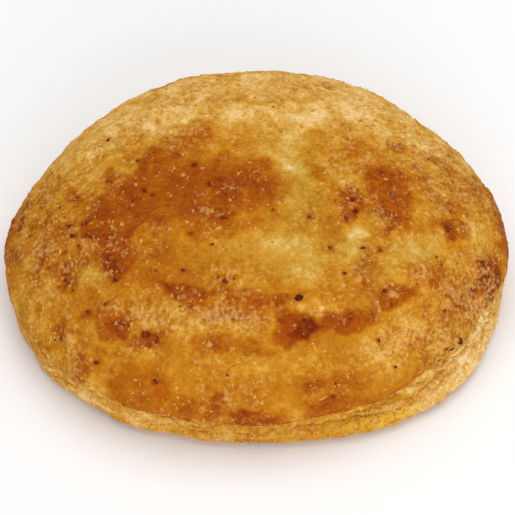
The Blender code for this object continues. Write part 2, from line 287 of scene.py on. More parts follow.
# places on the unrolled crust: (0, 0) is the top, a distance of 1 from it is the lip, the
# first number runs to the right and the second to the back
crown = {
    "topRings": 140,
    "lipRings": 12,
    "widest": 0.0122,  # the height at which it is widest
    "bottom": 0.0093,  # the height of its underside
    "flatness": 2.6,  # above 2 its top is flatter than an ellipse's
    "shoulder": 1.6,  # below 2 its sides lean in sooner
    "lipTuck": 0.024,  # how far its lower edge is drawn in, as a share of the outline
    "underRings": [0.955, 0.935, 0.90],  # shares of the outline at which the flat base has rings
    "lipWander": (14, 0.0006),  # wave in degrees round the lip, height
    "lipBites": [(7, 0.008)],  # wave in degrees round the lip, depth as a share
    "lipBand": 0.05,  # how far up the crust those bites reach
    "tornBites": [(6.5, 0.016), (3.6, 0.011)],  # the same where the sandwich gapes
    "tornBand": 0.09,
    "drawsBack": 0.050,  # how far its lip draws back where the sandwich gapes
    # browned patches that stand proud: place, half sizes, turn in degrees, strength
    "browned": [
        (-0.20, 0.03, 0.28, 0.14, 0, 0.85), (-0.44, -0.07, 0.09, 0.12, 10, 1.05),
        (-0.36, 0.02, 0.08, 0.06, 0, 1.00), (-0.14, 0.03, 0.07, 0.05, 0, 0.95),
        (-0.31, 0.15, 0.08, 0.09, 0, 0.85), (-0.02, 0.07, 0.07, 0.09, 0, 0.90),
        (-0.22, 0.27, 0.08, 0.07, 0, 0.60), (-0.41, -0.24, 0.07, 0.08, 0, 0.60),
        (-0.12, -0.13, 0.14, 0.05, 0, 0.45), (0.42, 0.04, 0.08, 0.17, 5, 0.70),
        (0.28, -0.03, 0.05, 0.07, 0, 0.70), (0.18, 0.09, 0.04, 0.04, 0, 0.55),
        (0.33, 0.24, 0.07, 0.04, 0, 0.40), (0.62, -0.10, 0.06, 0.04, -10, 0.85),
        (0.63, 0.02, 0.04, 0.09, 0, 0.25), (0.15, -0.56, 0.065, 0.055, 0, 1.15),
        (0.28, -0.50, 0.07, 0.045, 35, 0.90), (0.41, -0.40, 0.09, 0.035, 30, 0.65),
        (-0.23, -0.39, 0.08, 0.035, -25, 0.65), (-0.02, -0.44, 0.12, 0.035, 0, 0.55),
        (-0.06, -0.61, 0.16, 0.04, -5, 0.50), (-0.43, -0.49, 0.06, 0.04, -10, 0.75),
        (-0.33, -0.54, 0.04, 0.04, 0, 0.75), (-0.64, -0.47, 0.05, 0.035, 0, 0.60),
        (-0.60, -0.64, 0.08, 0.05, 10, 0.75), (-0.40, -0.76, 0.12, 0.10, -10, 0.60),
        (-0.24, -0.85, 0.16, 0.07, 0, 0.55), (0.02, -0.94, 0.13, 0.07, 0, 0.90),
        (0.32, -0.83, 0.16, 0.08, 10, 0.60), (0.53, -0.30, 0.07, 0.05, 0, 0.45),
        (0.88, 0.12, 0.08, 0.18, 0, 0.60), (0.80, -0.22, 0.06, 0.10, 0, 0.85),
        (-0.91, 0.03, 0.07, 0.14, 0, 0.85),
    ],
    "brownedRise": 0.0008,
    "brownedTone": 0.36,
    "steeper": (0.85, 0.10),  # wave added to a patch's height: its length, how strong
    # noise that makes outlines ragged: size in metres, how far it shifts a place on the crust
    "ragged": [(0.012, 0.045)],
    "fineRagged": [(0.004, 0.024), (0.0016, 0.014)],
    # low steps round the front: distance from the top, width, height
    "terraces": [(0.43, 0.06, 0.0005), (0.60, 0.06, 0.0008), (0.87, 0.05, 0.0006)],
    "lumps": [(0.022, 0.0007), (0.0095, 0.00048)],  # sizes and heights of swells and of lumps
    "crags": (0.0058, 0.00042),
    "fadesOver": 0.088,  # the stretch of crust above the lip over which this relief fades out
    # finer than the lumps: grains of crumb and the small pits between them
    "crumb": [(0.0026, 0.00014), (0.0014, 0.00008)],
    "grain": (0.0013, 0.00016),
    "bigGrain": (0.0030, 0.00020),
    "grainShows": (0.35, 0.9),  # share of that where the crust is whole, and how much more if torn
    # raised torn crumb: noise of these sizes and shares
    "flakes": [(0.0034, 0.30), (0.0017, 0.38), (0.0009, 0.32)],
    "mottles": [(0.0065, 0.09), (0.0034, 0.11), (0.0019, 0.10), (0.0010, 0.09)],
    "mottleShows": (0.45, 1.0),
    "pits": [(0.0018, 0.6), (0.0009, 0.4)],
    "pitLimits": (0.58, 0.72),  # the noise at which a pit begins and at which it is deepest
    "frontSmoother": 0.5,  # how much shallower pits and furrows are at the front
    "wall": (0.0027, 0.14),  # size and thinness of walls of crumb where the crust is torn
    "furrow": (0.0033, 0.10),
    "crease": (0.0042, 0.14),  # size and softness of the folds where the sandwich gapes
    # how far each fine feature stands up, in metres; cracks are in metres already
    "rises": {
        "flake": 0.00030, "pit": -0.00028, "wall": 0.00025, "furrow": -0.00025,
        "crack": -1, "crease": -0.0008,
    },
    # how much darker and how much greener each one is; in cracks, pits, creases and furrows
    # this is painted shade in the hollows
    "darkens": {
        "grain": 0.07, "bigGrain": 0.05, "crack": 250, "pit": 0.14, "crease": 0.24,
        "furrow": 0.08, "wall": -0.10,
    },
    "greens": {"browned": -0.33, "opened": 0.32, "crease": 0.39, "pit": 0.17, "furrow": 0.17},
    # direction in degrees, and how far from the top the crust ends and torn bread begins
    "opensAt": [
        (-190, 1.01), (-160, 0.99), (-110, 0.975), (-80, 0.965), (-66, 0.945), (-56, 0.935),
        (-48, 0.915), (-42, 0.900), (-36, 0.888), (-30, 0.878), (-24, 0.868), (-19, 0.866),
        (-14, 0.885), (-10, 0.930), (-4, 1.020),
    ],
    "openSoftly": [(-68, 16, 0.030)],  # direction, spread in degrees, how much wider it fades
    "openFade": (0.006, 0.012),  # how far before and past that line it fades
    "openRagged": [(0.0050, 0.022), (0.0026, 0.016), (0.0013, 0.010)],
    "openTone": (0.08, 0.34),  # where the sandwich gapes, and along the rest of the lip
    "openYellow": [(-60, 18, 0.60)],  # direction, spread in degrees and share of melted yellow
    # how far the crust is torn into crumb: anywhere, size and share of its noise, at the lip,
    # and past the line where the crust ends
    "tornAnywhere": 0.42,
    "tornNoise": [(0.009, 0.18)],
    "tornAtLip": 0.30,
    "tornOpened": 0.5,
    # the same in patches: place, half sizes, turn in degrees, how much more or less
    "torn": [
        (-0.22, 0.08, 0.24, 0.16, 0, -0.30), (0.02, -0.25, 0.24, 0.13, 0, -0.20),
        (0.20, -0.55, 0.16, 0.06, 10, -0.60), (-0.05, -0.70, 0.30, 0.07, 0, -0.12),
        (0.00, -0.88, 0.45, 0.08, 0, -0.08), (-0.42, -0.75, 0.14, 0.09, -10, -0.18),
        (0.42, -0.74, 0.14, 0.08, 30, -0.22), (0.50, -0.55, 0.16, 0.08, 35, 0.25),
        (0.13, 0.15, 0.07, 0.16, 0, -0.15), (-0.67, -0.05, 0.16, 0.32, 0, 0.15),
        (-0.45, -0.36, 0.14, 0.08, -30, 0.06), (-0.43, -0.44, 0.07, 0.07, 0, -0.25),
        (-0.30, -0.46, 0.20, 0.04, -10, 0.36), (-0.04, -0.51, 0.16, 0.03, 0, 0.50),
        (0.21, -0.48, 0.06, 0.03, 0, 0.60), (0.64, 0.25, 0.20, 0.24, 0, 0.35),
        (0.78, 0.52, 0.14, 0.20, -30, 0.35), (0.76, -0.40, 0.16, 0.26, -45, 0.40),
        (-0.35, 0.40, 0.30, 0.10, 20, 0.40), (0.10, 0.62, 0.50, 0.22, 0, 0.25),
        (-0.62, -0.60, 0.08, 0.14, 20, 0.20), (0.28, 0.12, 0.10, 0.10, 0, 0.20),
    ],
    # small browned spots without height of their own
    "spots": [
        (0.45, 0.31, 0.04, 0.03, 0, 0.80), (0.62, 0.30, 0.04, 0.03, 30, 0.60),
        (0.68, 0.30, 0.03, 0.09, 0, 0.45), (0.66, 0.52, 0.03, 0.05, 0, 0.60),
        (0.54, 0.55, 0.03, 0.07, 0, 0.45), (0.24, 0.62, 0.03, 0.03, 0, 0.60),
        (0.08, 0.50, 0.02, 0.02, 0, 0.60), (-0.22, 0.52, 0.03, 0.03, 0, 0.55),
        (-0.05, 0.66, 0.03, 0.03, 0, 0.50), (-0.35, 0.34, 0.04, 0.02, 30, 0.55),
        (-0.48, 0.13, 0.04, 0.04, 0, 0.60), (-0.62, 0.07, 0.03, 0.03, 0, 0.55),
        (-0.68, -0.02, 0.04, 0.03, 0, 0.45), (-0.69, -0.20, 0.04, 0.06, 0, 0.50),
        (-0.80, 0.00, 0.03, 0.03, 0, 0.95), (-0.79, 0.09, 0.03, 0.03, 0, 0.70),
        (-0.83, -0.10, 0.05, 0.05, 0, 0.50), (-0.58, -0.33, 0.035, 0.03, 0, 0.65),
        (-0.52, -0.43, 0.03, 0.02, 0, 0.70), (-0.12, -0.81, 0.04, 0.03, 0, 0.80),
        (0.20, -0.73, 0.04, 0.04, 0, 0.45), (0.36, -0.69, 0.07, 0.03, 30, 0.35),
        (0.10, -0.44, 0.04, 0.03, 0, 0.70), (0.68, -0.33, 0.06, 0.06, 0, 0.35),
        (0.55, -0.56, 0.05, 0.04, 0, 0.35),
    ],
    # broad soft shades: place, half sizes, turn, how much darker; below 0 is paler
    "shades": [
        (-0.70, -0.02, 0.22, 0.28, 0, 0.13), (-0.52, -0.55, 0.12, 0.16, 20, 0.10),
        (0.00, -0.88, 0.70, 0.17, 0, 0.02), (0.05, -0.27, 0.18, 0.08, 0, -0.12),
        (-0.30, -0.32, 0.20, 0.14, 0, 0.14), (-0.58, 0.22, 0.12, 0.10, 0, -0.23),
        (0.40, 0.22, 0.10, 0.08, 0, -0.10), (-0.85, -0.34, 0.10, 0.14, 0, -0.14),
        (-0.20, 0.38, 0.12, 0.06, 0, -0.12), (-0.18, -0.06, 0.05, 0.05, 0, 0.14),
        (0.45, -0.21, 0.05, 0.04, 0, 0.14), (0.15, -0.72, 0.06, 0.05, 0, 0.14),
        (-0.36, -0.75, 0.08, 0.05, 0, -0.17), (0.65, -0.55, 0.06, 0.06, 0, 0.12),
        (0.32, -0.16, 0.05, 0.05, 0, -0.24), (0.22, -0.25, 0.08, 0.04, 0, -0.15),
        (0.14, -0.33, 0.07, 0.03, 0, -0.15), (0.34, -0.26, 0.05, 0.05, 0, 0.13),
        (0.08, -0.21, 0.07, 0.04, 0, -0.10), (0.40, -0.13, 0.035, 0.045, 0, 0.16),
        (0.53, -0.18, 0.09, 0.05, 0, -0.18), (0.45, -0.31, 0.05, 0.06, 0, -0.12),
        (0.74, -0.03, 0.05, 0.11, 0, -0.14), (0.05, 0.24, 0.08, 0.12, 0, -0.24),
        (0.20, 0.33, 0.07, 0.06, 0, -0.18), (0.13, 0.05, 0.06, 0.10, 0, -0.15),
        (0.15, 0.13, 0.03, 0.04, 0, 0.14), (0.08, 0.12, 0.04, 0.05, 0, -0.24),
        (-0.43, -0.43, 0.06, 0.04, 0, 0.18), (-0.37, -0.45, 0.05, 0.03, 0, 0.12),
        (-0.50, -0.50, 0.04, 0.04, 0, -0.20), (-0.31, -0.53, 0.06, 0.05, 0, 0.28),
        (-0.08, -0.49, 0.09, 0.04, 0, 0.22), (0.33, -0.31, 0.06, 0.06, 0, 0.18),
        (0.21, -0.13, 0.045, 0.045, 0, 0.18), (0.48, 0.42, 0.08, 0.05, 0, 0.15),
        (-0.30, 0.86, 0.14, 0.11, 0, 0.40), (-0.27, 0.50, 0.12, 0.10, 0, 0.10),
        (0.64, 0.38, 0.07, 0.07, 0, 0.15), (-0.57, -0.74, 0.06, 0.09, 0, -0.26),
        (-0.57, -0.27, 0.06, 0.05, 0, 0.22), (-0.47, -0.26, 0.04, 0.04, 0, 0.20),
        (0.77, -0.29, 0.06, 0.09, 0, 0.36), (0.70, -0.35, 0.05, 0.06, 0, 0.18),
        (0.42, 0.52, 0.14, 0.12, 0, -0.08), (-0.51, -0.32, 0.035, 0.04, 0, -0.22),
        (-0.33, -0.46, 0.08, 0.03, -20, -0.14), (-0.10, -0.52, 0.14, 0.03, 0, -0.14),
        (0.22, -0.46, 0.03, 0.025, 0, -0.22), (0.13, -0.49, 0.05, 0.03, 0, 0.30),
        (0.01, -0.06, 0.05, 0.04, 0, 0.09), (0.26, -0.15, 0.04, 0.04, 0, 0.11),
        (-0.39, -0.17, 0.09, 0.06, -20, 0.11), (0.20, -0.40, 0.05, 0.03, 0, 0.12),
        (0.28, -0.71, 0.07, 0.05, 0, 0.20), (0.15, -0.88, 0.06, 0.05, 0, -0.18),
        (0.68, -0.06, 0.04, 0.06, 0, -0.24), (0.33, -0.80, 0.05, 0.05, 0, -0.12),
        (0.82, -0.20, 0.05, 0.12, 0, 0.12), (0.93, 0.00, 0.04, 0.12, 0, 0.12),
        (0.20, -0.78, 0.05, 0.05, 0, -0.12), (0.27, -0.48, 0.05, 0.03, 0, 0.10),
        (-0.52, 0.19, 0.05, 0.05, 0, -0.09), (-0.45, -0.59, 0.05, 0.04, 0, -0.10),
        (0.68, -0.46, 0.08, 0.05, -50, 0.08), (0.40, 0.16, 0.05, 0.05, 0, -0.14),
        (0.48, 0.17, 0.05, 0.05, 0, -0.10), (0.21, -0.57, 0.04, 0.04, 0, 0.24),
        (-0.73, -0.02, 0.06, 0.09, 0, -0.21), (0.01, -0.87, 0.05, 0.05, 0, 0.08),
        (0.01, -0.79, 0.06, 0.04, 0, 0.10), (-0.24, -0.22, 0.06, 0.05, 0, 0.12),
        (0.77, 0.09, 0.05, 0.06, 0, 0.10), (0.20, 0.03, 0.03, 0.04, 0, 0.12),
        (-0.46, 0.40, 0.08, 0.07, 0, 0.10), (0.60, -0.26, 0.05, 0.04, 0, -0.13),
        (-0.62, -0.66, 0.06, 0.04, 0, 0.08), (0.50, -0.50, 0.07, 0.05, 0, -0.10),
        (0.05, -0.69, 0.16, 0.05, 0, -0.10), (0.45, -0.64, 0.09, 0.05, 0, -0.12),
        (-0.40, -0.61, 0.10, 0.035, -20, -0.04), (0.84, -0.44, 0.10, 0.14, 0, -0.16),
    ],
    # pale greenish yellow where the crust stayed damp: place, half sizes, turn, how much
    "damp": [
        (0.07, 0.20, 0.06, 0.10, 20, 0.60), (0.13, 0.04, 0.05, 0.12, 0, 0.90),
        (0.11, -0.16, 0.07, 0.08, 0, 0.65), (0.05, -0.25, 0.35, 0.12, 0, 0.26),
        (0.31, -0.18, 0.06, 0.07, 0, 0.75), (0.48, -0.23, 0.09, 0.06, 0, 0.75),
        (-0.50, -0.31, 0.05, 0.05, 0, 0.70), (0.20, -0.26, 0.08, 0.06, 0, 0.45),
        (0.39, -0.30, 0.06, 0.04, 0, 0.45), (0.14, -0.33, 0.06, 0.04, 0, 0.35),
        (0.54, -0.18, 0.05, 0.05, 0, 0.40), (0.74, -0.48, 0.10, 0.18, -40, 0.50),
    ],
    "tone": 0.46,  # of the crust between its patches, 0 pale and 1 dark
    # how much paler the back is: painted sheen where the light grazes the crust
    "backPaler": 0.27,
    "olive": 0.28,
    "oliveNoise": [(0.011, 0.17)],  # its size and share
    # fine lines that open in the crust: from, to, width, depth
    "cracks": [
        (-0.69, -0.18, -0.70, -0.27, 0.009, 0.0006), (0.185, -0.525, 0.205, -0.60, 0.006, 0.0004),
        (-0.48, -0.57, -0.40, -0.60, 0.007, 0.0004),
    ],
}


# how far a place is from the middle of a patch, in half sizes of the patch
def patchDistance(right, up, x, y, halfX, halfY, turn):
    c, s = math.cos(math.radians(turn)), math.sin(math.radians(turn))
    offX = ((right - x) * c + (up - y) * s) / halfX
    offY = ((up - y) * c - (right - x) * s) / halfY
    return np.hypot(offX, offY)


# the strongest patch at each place, a hill with a flat middle, half as high at its outline
def patchHeight(right, up, patches):
    height = np.zeros_like(right)
    for *patch, strength in patches:
        hill = 1 - smooth(patchDistance(right, up, *patch), 0.6, 1.4)
        height = np.maximum(height, strength * hill)
    return height


# soft patches added up: the amount of each times exp of minus its squared distance
def softPatches(right, up, patches):
    total = np.zeros_like(right)
    for *patch, amount in patches:
        total += amount * np.exp(-patchDistance(right, up, *patch) ** 2)
    return total


# places on the crust, shifted both ways by noise of these sizes and reaches
def shifted(base, right, up, waves, seed):
    for k, (size, reach) in enumerate(waves):
        right = right + reach * noise(base, size, seed + 2 * k)
        up = up + reach * noise(base, size, seed + 2 * k + 1)
    return right, up


# how deep each place lies in the cracks, in metres: a crack's depth times exp of minus the
# squared distance from its line, in widths
def crackDepth(right, up):
    depth = np.zeros_like(right)
    for x1, y1, x2, y2, width, deep in crown["cracks"]:
        length = (x2 - x1) ** 2 + (y2 - y1) ** 2
        along = np.clip(((right - x1) * (x2 - x1) + (up - y1) * (y2 - y1)) / length, 0, 1)
        off = np.hypot(right - x1 - along * (x2 - x1), up - y1 - along * (y2 - y1)) / width
        depth = np.maximum(depth, deep * np.exp(-off * off))
    return depth


# features times the weight that each one has, added up
def weighed(features, weights):
    return sum(weight * features[name] for name, weight in weights.items())


# from the top to the middle of the base, as shares of the outline and heights: a dome whose
# share and height are powers of a sine and a cosine, a quarter of an ellipse and a flat base
def crownProfile():
    quarter = np.linspace(0, np.pi / 2, 200)
    widest = crown["widest"]
    dome = stretch(
        np.sin(quarter) ** (2 / crown["flatness"]),
        widest + (sandwich["height"] - widest) * np.cos(quarter) ** (2 / crown["shoulder"]),
        crown["topRings"],
    )
    lip = stretch(
        1 - crown["lipTuck"] * (1 - np.cos(quarter)),
        widest - (widest - crown["bottom"]) * np.sin(quarter),
        crown["lipRings"],
    )
    under = np.array([1 - crown["lipTuck"], *crown["underRings"], 0])
    return joined(dome, lip, (under, np.full(len(under), crown["bottom"])))


# directions out of the plain dome: places divided by the squares of the sandwich's measures
def outOfDome(base):
    x, y, z = base.T
    rise = (z - crown["widest"]) / (2 * sandwich["height"]) ** 2
    out = np.stack([x / sandwich["length"] ** 2, y / sandwich["width"] ** 2, rise], axis=-1)
    return out / np.maximum(np.linalg.norm(out, axis=-1, keepdims=True), 1e-9)


# the relief that the solid crown has too, in metres: browned patches, low steps round the
# front, swells, lumps and crags, fading out above the lip
def crownRelief(base, angle, along, right, up):
    relief = crown["brownedRise"] * patchHeight(right, up, crown["browned"])
    front = np.clip(0.4 - 1.2 * np.sin(angle), 0, 1)
    wavering = along + right - along * np.cos(angle)  # the steps are as ragged as the patches
    for distance, width, high in crown["terraces"]:
        off = (wavering - distance) / width
        relief += high * front * np.exp(-off * off)
    relief += mixedNoise(base, crown["lumps"], 21)
    size, high = crown["crags"]
    relief += high * (0.5 - 2 * np.abs(noise(base, size, 23)))
    fade = np.clip((1 - along) / crown["fadesOver"], 0, 1) * (1 - 0.4 * along**8)
    return fade * relief


# the lip wanders in height and is bitten in and out, in a band that falls off on both sides
def raggedLip(points, angle, along):
    onLip = np.exp(-(((along - 1) / crown["lipBand"]) ** 2)) * (along <= 1)
    tornLip = np.exp(-(((along - 1) / crown["tornBand"]) ** 2)) * (along <= 1)
    wave, high = crown["lipWander"]
    points[:, 2] += high * onLip * (1 + ragged(angle, wave, 31))
    bites = onLip * bitten(angle, crown["lipBites"], 32)
    bites += tornLip * gape(angle) * bitten(angle, crown["tornBites"], 36)
    points[:, :2] *= (1 + bites)[:, None]
    return points


# 1 past the ragged line below which the crust has opened into soft bread, 0 before it
def crownOpened(base, angle, along):
    direction, distance = np.array(crown["opensAt"]).T
    ends = np.interp(np.degrees(angle), direction, distance)
    wander = mixedNoise(base, crown["openRagged"], 17)
    softer = runOut(angle, crown["openSoftly"])
    before, past = crown["openFade"]
    return smooth(along + wander - ends, -before - softer, past + softer)


# 0 where the crust is whole and smooth, 1 where it is torn into crumb: a share everywhere,
# noise, more at the lip and where it opened, and the patches, added up
def crownTorn(base, along, right, up, opened):
    torn = crown["tornAnywhere"] + bumps(base, crown["tornNoise"], 85)
    torn += crown["tornAtLip"] * smooth(along, 0.93, 0.99) + crown["tornOpened"] * opened
    return np.clip(torn + softPatches(right, up, crown["torn"]), 0, 1)


# fine features of the crust: flakes of torn crumb stand up, pits go down, both more where the
# crust is torn; thin walls, furrows, folds at the opened line, cracks, and grains of two sizes
def crustFeatures(base, angle, along, right, up):
    fineRight, fineUp = shifted(base, right, up, crown["fineRagged"], 13)
    opened = crownOpened(base, angle, along)
    torn = crownTorn(base, along, fineRight, fineUp, opened)
    shred = mixedNoise(base, crown["flakes"], 81)
    rough = 1 - crown["frontSmoother"] * smooth(-up, 0, 0.3)
    pits = mixedNoise(base, crown["pits"], 84) + 0.35 * torn
    near, _, own = grains(base, crown["grain"][0], 60)
    bigNear, _, bigOwn = grains(base, crown["bigGrain"][0], 70)
    grainy = crown["grain"][1] * (0.55 - near) * (0.4 + own)
    grainy += crown["bigGrain"][1] * (0.5 - bigNear) + bumps(base, crown["crumb"], 80)
    whole, more = crown["grainShows"]
    return {
        "right": fineRight,
        "up": fineUp,
        "opened": opened,
        "torn": torn,
        "shred": shred,
        "browned": patchHeight(fineRight, fineUp, crown["browned"]),
        "flake": np.clip(0.50 * torn + 1.1 * shred, 0, 1),
        "pit": rough * smooth(pits, *crown["pitLimits"]),
        "wall": torn * windingLines(base, *crown["wall"], 88),
        "furrow": rough * torn * windingLines(base, *crown["furrow"], 89),
        "crease": opened * creases(base, *crown["crease"], 75)[0],
        "crack": crackDepth(fineRight, fineUp),
        "grainy": grainy * (whole + more * torn),  # in metres
        "grain": own - 0.5,
        "bigGrain": bigOwn - 0.5,
    }


# reddish brown stains round the listed specks: exp of minus the squared distance, in radii
def speckStain(base, right, up):
    right, up = shifted(base, right, up, specks["stainRagged"], 86)
    stain = np.zeros_like(right)
    for x, y, half in specks["listed"]:
        far = np.hypot(right - x, up - y) / (specks["stainSize"] * (0.35 + half))
        stain = np.maximum(stain, np.exp(-far * far))
    return specks["stain"] * stain


# how dark the toast is: paler towards the back as painted sheen, broad shades, and the browned
# patches and spots, whose outlines are made steeper by a wave added to their height
def toastAndBackSheenTone(right, up, browned):
    # painted sheen: the back of the crust is made paler
    tone = crown["tone"] - crown["backPaler"] * smooth(up, 0.20, 0.42)
    tone += softPatches(right, up, crown["shades"])
    height = np.maximum(browned, patchHeight(right, up, crown["spots"]))
    wave, strength = crown["steeper"]
    height -= strength * np.sin(2 * np.pi * height / wave)
    return tone + crown["brownedTone"] * height


# the tone of all the crust: toasted, with painted sheen paler at the back, stained, soft bread
# where it opened, mottled, and changed by the fine features, with painted shade in its cracks,
# pits, creases and furrows
def crustTone(base, angle, right, up, features):
    tone = toastAndBackSheenTone(features["right"], features["up"], features["browned"])
    tone += speckStain(base, right, up)
    atGape, elsewhere = crown["openTone"]
    tone += features["opened"] * (elsewhere + (atGape - elsewhere) * gape(angle) - tone)
    whole, more = crown["mottleShows"]
    tone += (whole + more * features["torn"]) * mixedNoise(base, crown["mottles"], 41)
    # painted shade darkens the cracks, pits, creases and furrows
    return np.clip(tone + weighed(features, crown["darkens"]), 0, 1)


# greenish yellow where the crust stayed pale and damp, and painted olive shade in its creases,
# pits and furrows
def crustOlive(base, right, up, features):
    olive = crown["olive"] + bumps(base, crown["oliveNoise"], 44)
    # painted olive shade greens the creases, pits and furrows
    olive += softPatches(right, up, crown["damp"]) + weighed(features, crown["greens"])
    return np.clip(olive, 0, 1)


# the crown: a plain dome pushed outward by its relief, with a ragged lip, then by its crumb
def crownSurface():
    share, height = crownProfile()
    hungRings = crown["lipRings"] + len(crown["underRings"])
    angle, ring, triangles = cushionGrid(crown["topRings"], hungRings)
    along = ring / (crown["topRings"] + crown["lipRings"])
    onTop = along <= 1
    x, y = outline(angle, share[ring] * (1 - crown["drawsBack"] * gape(angle)))
    base = np.stack([x, y, height[ring]], axis=-1)
    outward = outOfDome(base)
    plainRight, plainUp = along * np.cos(angle), along * np.sin(angle)
    right, up = shifted(base, plainRight, plainUp, crown["ragged"], 11)
    bent = base + outward * crownRelief(base, angle, along, right, up)[:, None]
    bent = raggedLip(bent, angle, along)
    features = crustFeatures(base, angle, along, right, up)
    crumb = features["grainy"] + weighed(features, crown["rises"])
    bent += outward * (onTop * (1 - 0.3 * smooth(along, 0.9, 1)) * crumb)[:, None]
    paleCrumb = 1.5 * features["torn"] - 0.35 + 1.1 * features["shred"] + 0.3 * features["wall"]
    return bent, triangles, {
        "tone": crustTone(base, angle, plainRight, plainUp, features),
        "olive": crustOlive(base, right, up, features),
        "torn": features["torn"],
        "crumb": np.clip(paleCrumb, 0, 1),
        "yellow": features["opened"] * runOut(angle, crown["openYellow"]),
        "right": plainRight,
        "up": plainUp,
        "onTop": onTop,
    }


heel = {
    "segments": 520,
    "rings": (12, 16, 26, 40),  # over its flat top, its rim, the tuck below that and its base
    "top": 0.0072,
    "tuck": 0.020,  # how much smaller than the outline it is
    "runsOut": [(-53, 27, 0.040), (-115, 35, 0.022)],  # direction, spread in degrees, how far
    "nose": 0.045,  # how wide its rounded rim is, as a share of the outline
    "noseHeight": 0.0040,  # the height at which it is widest
    "base": 0.880,  # how large its flat base is, as a share of the outline
    "tuckCurve": 1.3,
    "rimFrom": (0.90, 0.95),  # shares of the outline between which the rough rim begins
    "bulges": [(0.0100, 0.0005), (0.0052, 0.0004)],  # sizes and heights
    "crumb": [(0.0026, 0.00012), (0.0014, 0.00008)],
    "fold": (0.0050, 0.13),  # size and softness of the creases where the sandwich gapes
    "flake": (0.45, 1.2),  # middle, and how strongly noise changes it
    "wall": (0.0027, 0.16),  # size and thinness of walls of crumb
    "meltedSmoother": 0.5,  # how much less flake and wall there is where the sandwich gapes
    # how far each fine feature stands out, in metres, and how much darker it is (painted shade in
    # the folds)
    "rises": {"fold": -0.0005, "evenFlake": 0.00030, "evenWall": 0.00025},
    "darkens": {"fold": 0.085, "wall": -0.12},
    "tone": 0.42,
    "baked": (0.006, 0.30),  # size of its baked patches, and how much darker they are
    "under": (0.018, 0.30),  # the same for patches of the base
    "nearBase": 0.22,  # how much darker the edge is close to the base
    "olive": 0.20,
    "oliveNoise": [(0.009, 0.17)],
    # in the folds this greening is painted olive shade
    "meltedGreenerAndFoldShade": 0.25,  # both over the gape and in its folds
    "yellow": [(-60, 18, 0.60)],
    "yellowSize": 0.007,  # of the patches into which that yellow breaks up
    # direction, spread in degrees, how much paler; below 0 is darker
    "paler": [
        (-32, 28, 0.46), (-64, 8, -0.10), (-75, 6, -0.18), (-84, 5, 0.12), (-94, 9, -0.14),
        (-126, 26, 0.34),
    ],
}


# the heel's outline, which runs out at the front
def heelReach(angle):
    return 1 - heel["tuck"] + runOut(angle, heel["runsOut"])


# how far the heel's rim bulges at a place, in metres
def rimBulge(points):
    return bumps(points, heel["bulges"], 51)


# from the middle of the top to the middle of the base: flat, a quarter of an ellipse over the
# rim, a curve tucked in below it, and the flat base
def heelProfile():
    over = np.linspace(0, np.pi / 2, 80)
    nose, noseHeight = heel["nose"], heel["noseHeight"]
    tuck = (1 - heel["base"]) * (1 - np.cos(over)) ** heel["tuckCurve"]
    shapes = [
        (np.array([0.0, 1 - nose]), np.full(2, heel["top"])),
        (1 - nose * (1 - np.sin(over)), noseHeight + (heel["top"] - noseHeight) * np.cos(over)),
        (1 - tuck, noseHeight * (1 - np.sin(over))),
        (np.array([heel["base"], 0.0]), np.zeros(2)),
    ]
    return joined(*(stretch(*shape, rings) for shape, rings in zip(shapes, heel["rings"])))


# fine features of the heel's edge, 0 to 1 each: folds where it gapes, flakes and walls
def heelFeatures(points, angle):
    even = 1 - heel["meltedSmoother"] * gape(angle)
    fold, own = creases(points, *heel["fold"], 90)
    flake = uneven(heel["flake"], mixedNoise(points, crown["flakes"], 91))
    wall = windingLines(points, *heel["wall"], 93)
    return {
        "fold": gape(angle) * fold,
        "wall": wall,
        "evenFlake": even * flake,
        "evenWall": even * wall,
        "crumb": even * np.clip(flake * (0.7 + 0.4 * own) + 0.3 * wall, 0, 1),
    }


# the heel's tone: mottled, paler and darker along its rim, darker in baked patches away from
# the gape, near the base and under it, and painted shade in its folds
def heelTone(points, angle, height, features):
    tone = heel["tone"] + 1.2 * mixedNoise(points, crown["mottles"], 45)
    tone -= runOut(angle, heel["paler"]) * smooth(height, 0.0005, 0.003)
    size, darker = heel["baked"]
    tone += darker * smooth(noise(points, size, 53), 0.0, 0.5) * (1 - gape(angle))
    tone += heel["nearBase"] * (1 - smooth(height, 0, 0.0022))
    size, darker = heel["under"]
    tone += darker * smooth(noise(points, size, 48), -0.4, 0.4) * (height < 0.0001)
    # painted shade darkens the folds
    return np.clip(tone + weighed(features, heel["darkens"]), 0, 1)


# a flat slice whose soft rim is pushed outward, level, by its bulges and its crumb
def heelSurface():
    share, height = heelProfile()
    angle, ring, triangles = turnedGrid(len(share) - 1, heel["segments"])
    share, height = share[ring], height[ring]
    x, y = outline(angle, share * heelReach(angle))
    points = np.stack([x, y, height], axis=-1)
    features = heelFeatures(points, angle)
    onRim = smooth(share, *heel["rimFrom"]) * smooth(height, 0, 0.0008)  # the base stays flat
    bulge = rimBulge(points) + bumps(points, heel["crumb"], 52)
    bulge += weighed(features, heel["rises"])
    reach = np.maximum(np.hypot(x, y), 1e-9)
    side = np.stack([x / reach, y / reach, 0 * x], axis=-1)
    points = points + side * (bulge * onRim)[:, None]
    olive = heel["olive"] + bumps(points, heel["oliveNoise"], 49)
    # painted olive shade in the folds, and greener bread over the gape
    olive += heel["meltedGreenerAndFoldShade"] * (gape(angle) + features["fold"])
    patches = noise(points, heel["yellowSize"], 50)
    yellow = runOut(angle, heel["yellow"]) * smooth(patches, -0.6, 0.3)
    return points, triangles, {
        "tone": heelTone(points, angle, height, features),
        "olive": np.clip(olive, 0, 1),
        "torn": 0.45 + 0.45 * onRim,
        "crumb": features["crumb"] * onRim,
        "yellow": onRim * yellow,
        "right": share * np.cos(angle),
        "up": share * np.sin(angle),
        "onTop": height > 0.0012,
    }


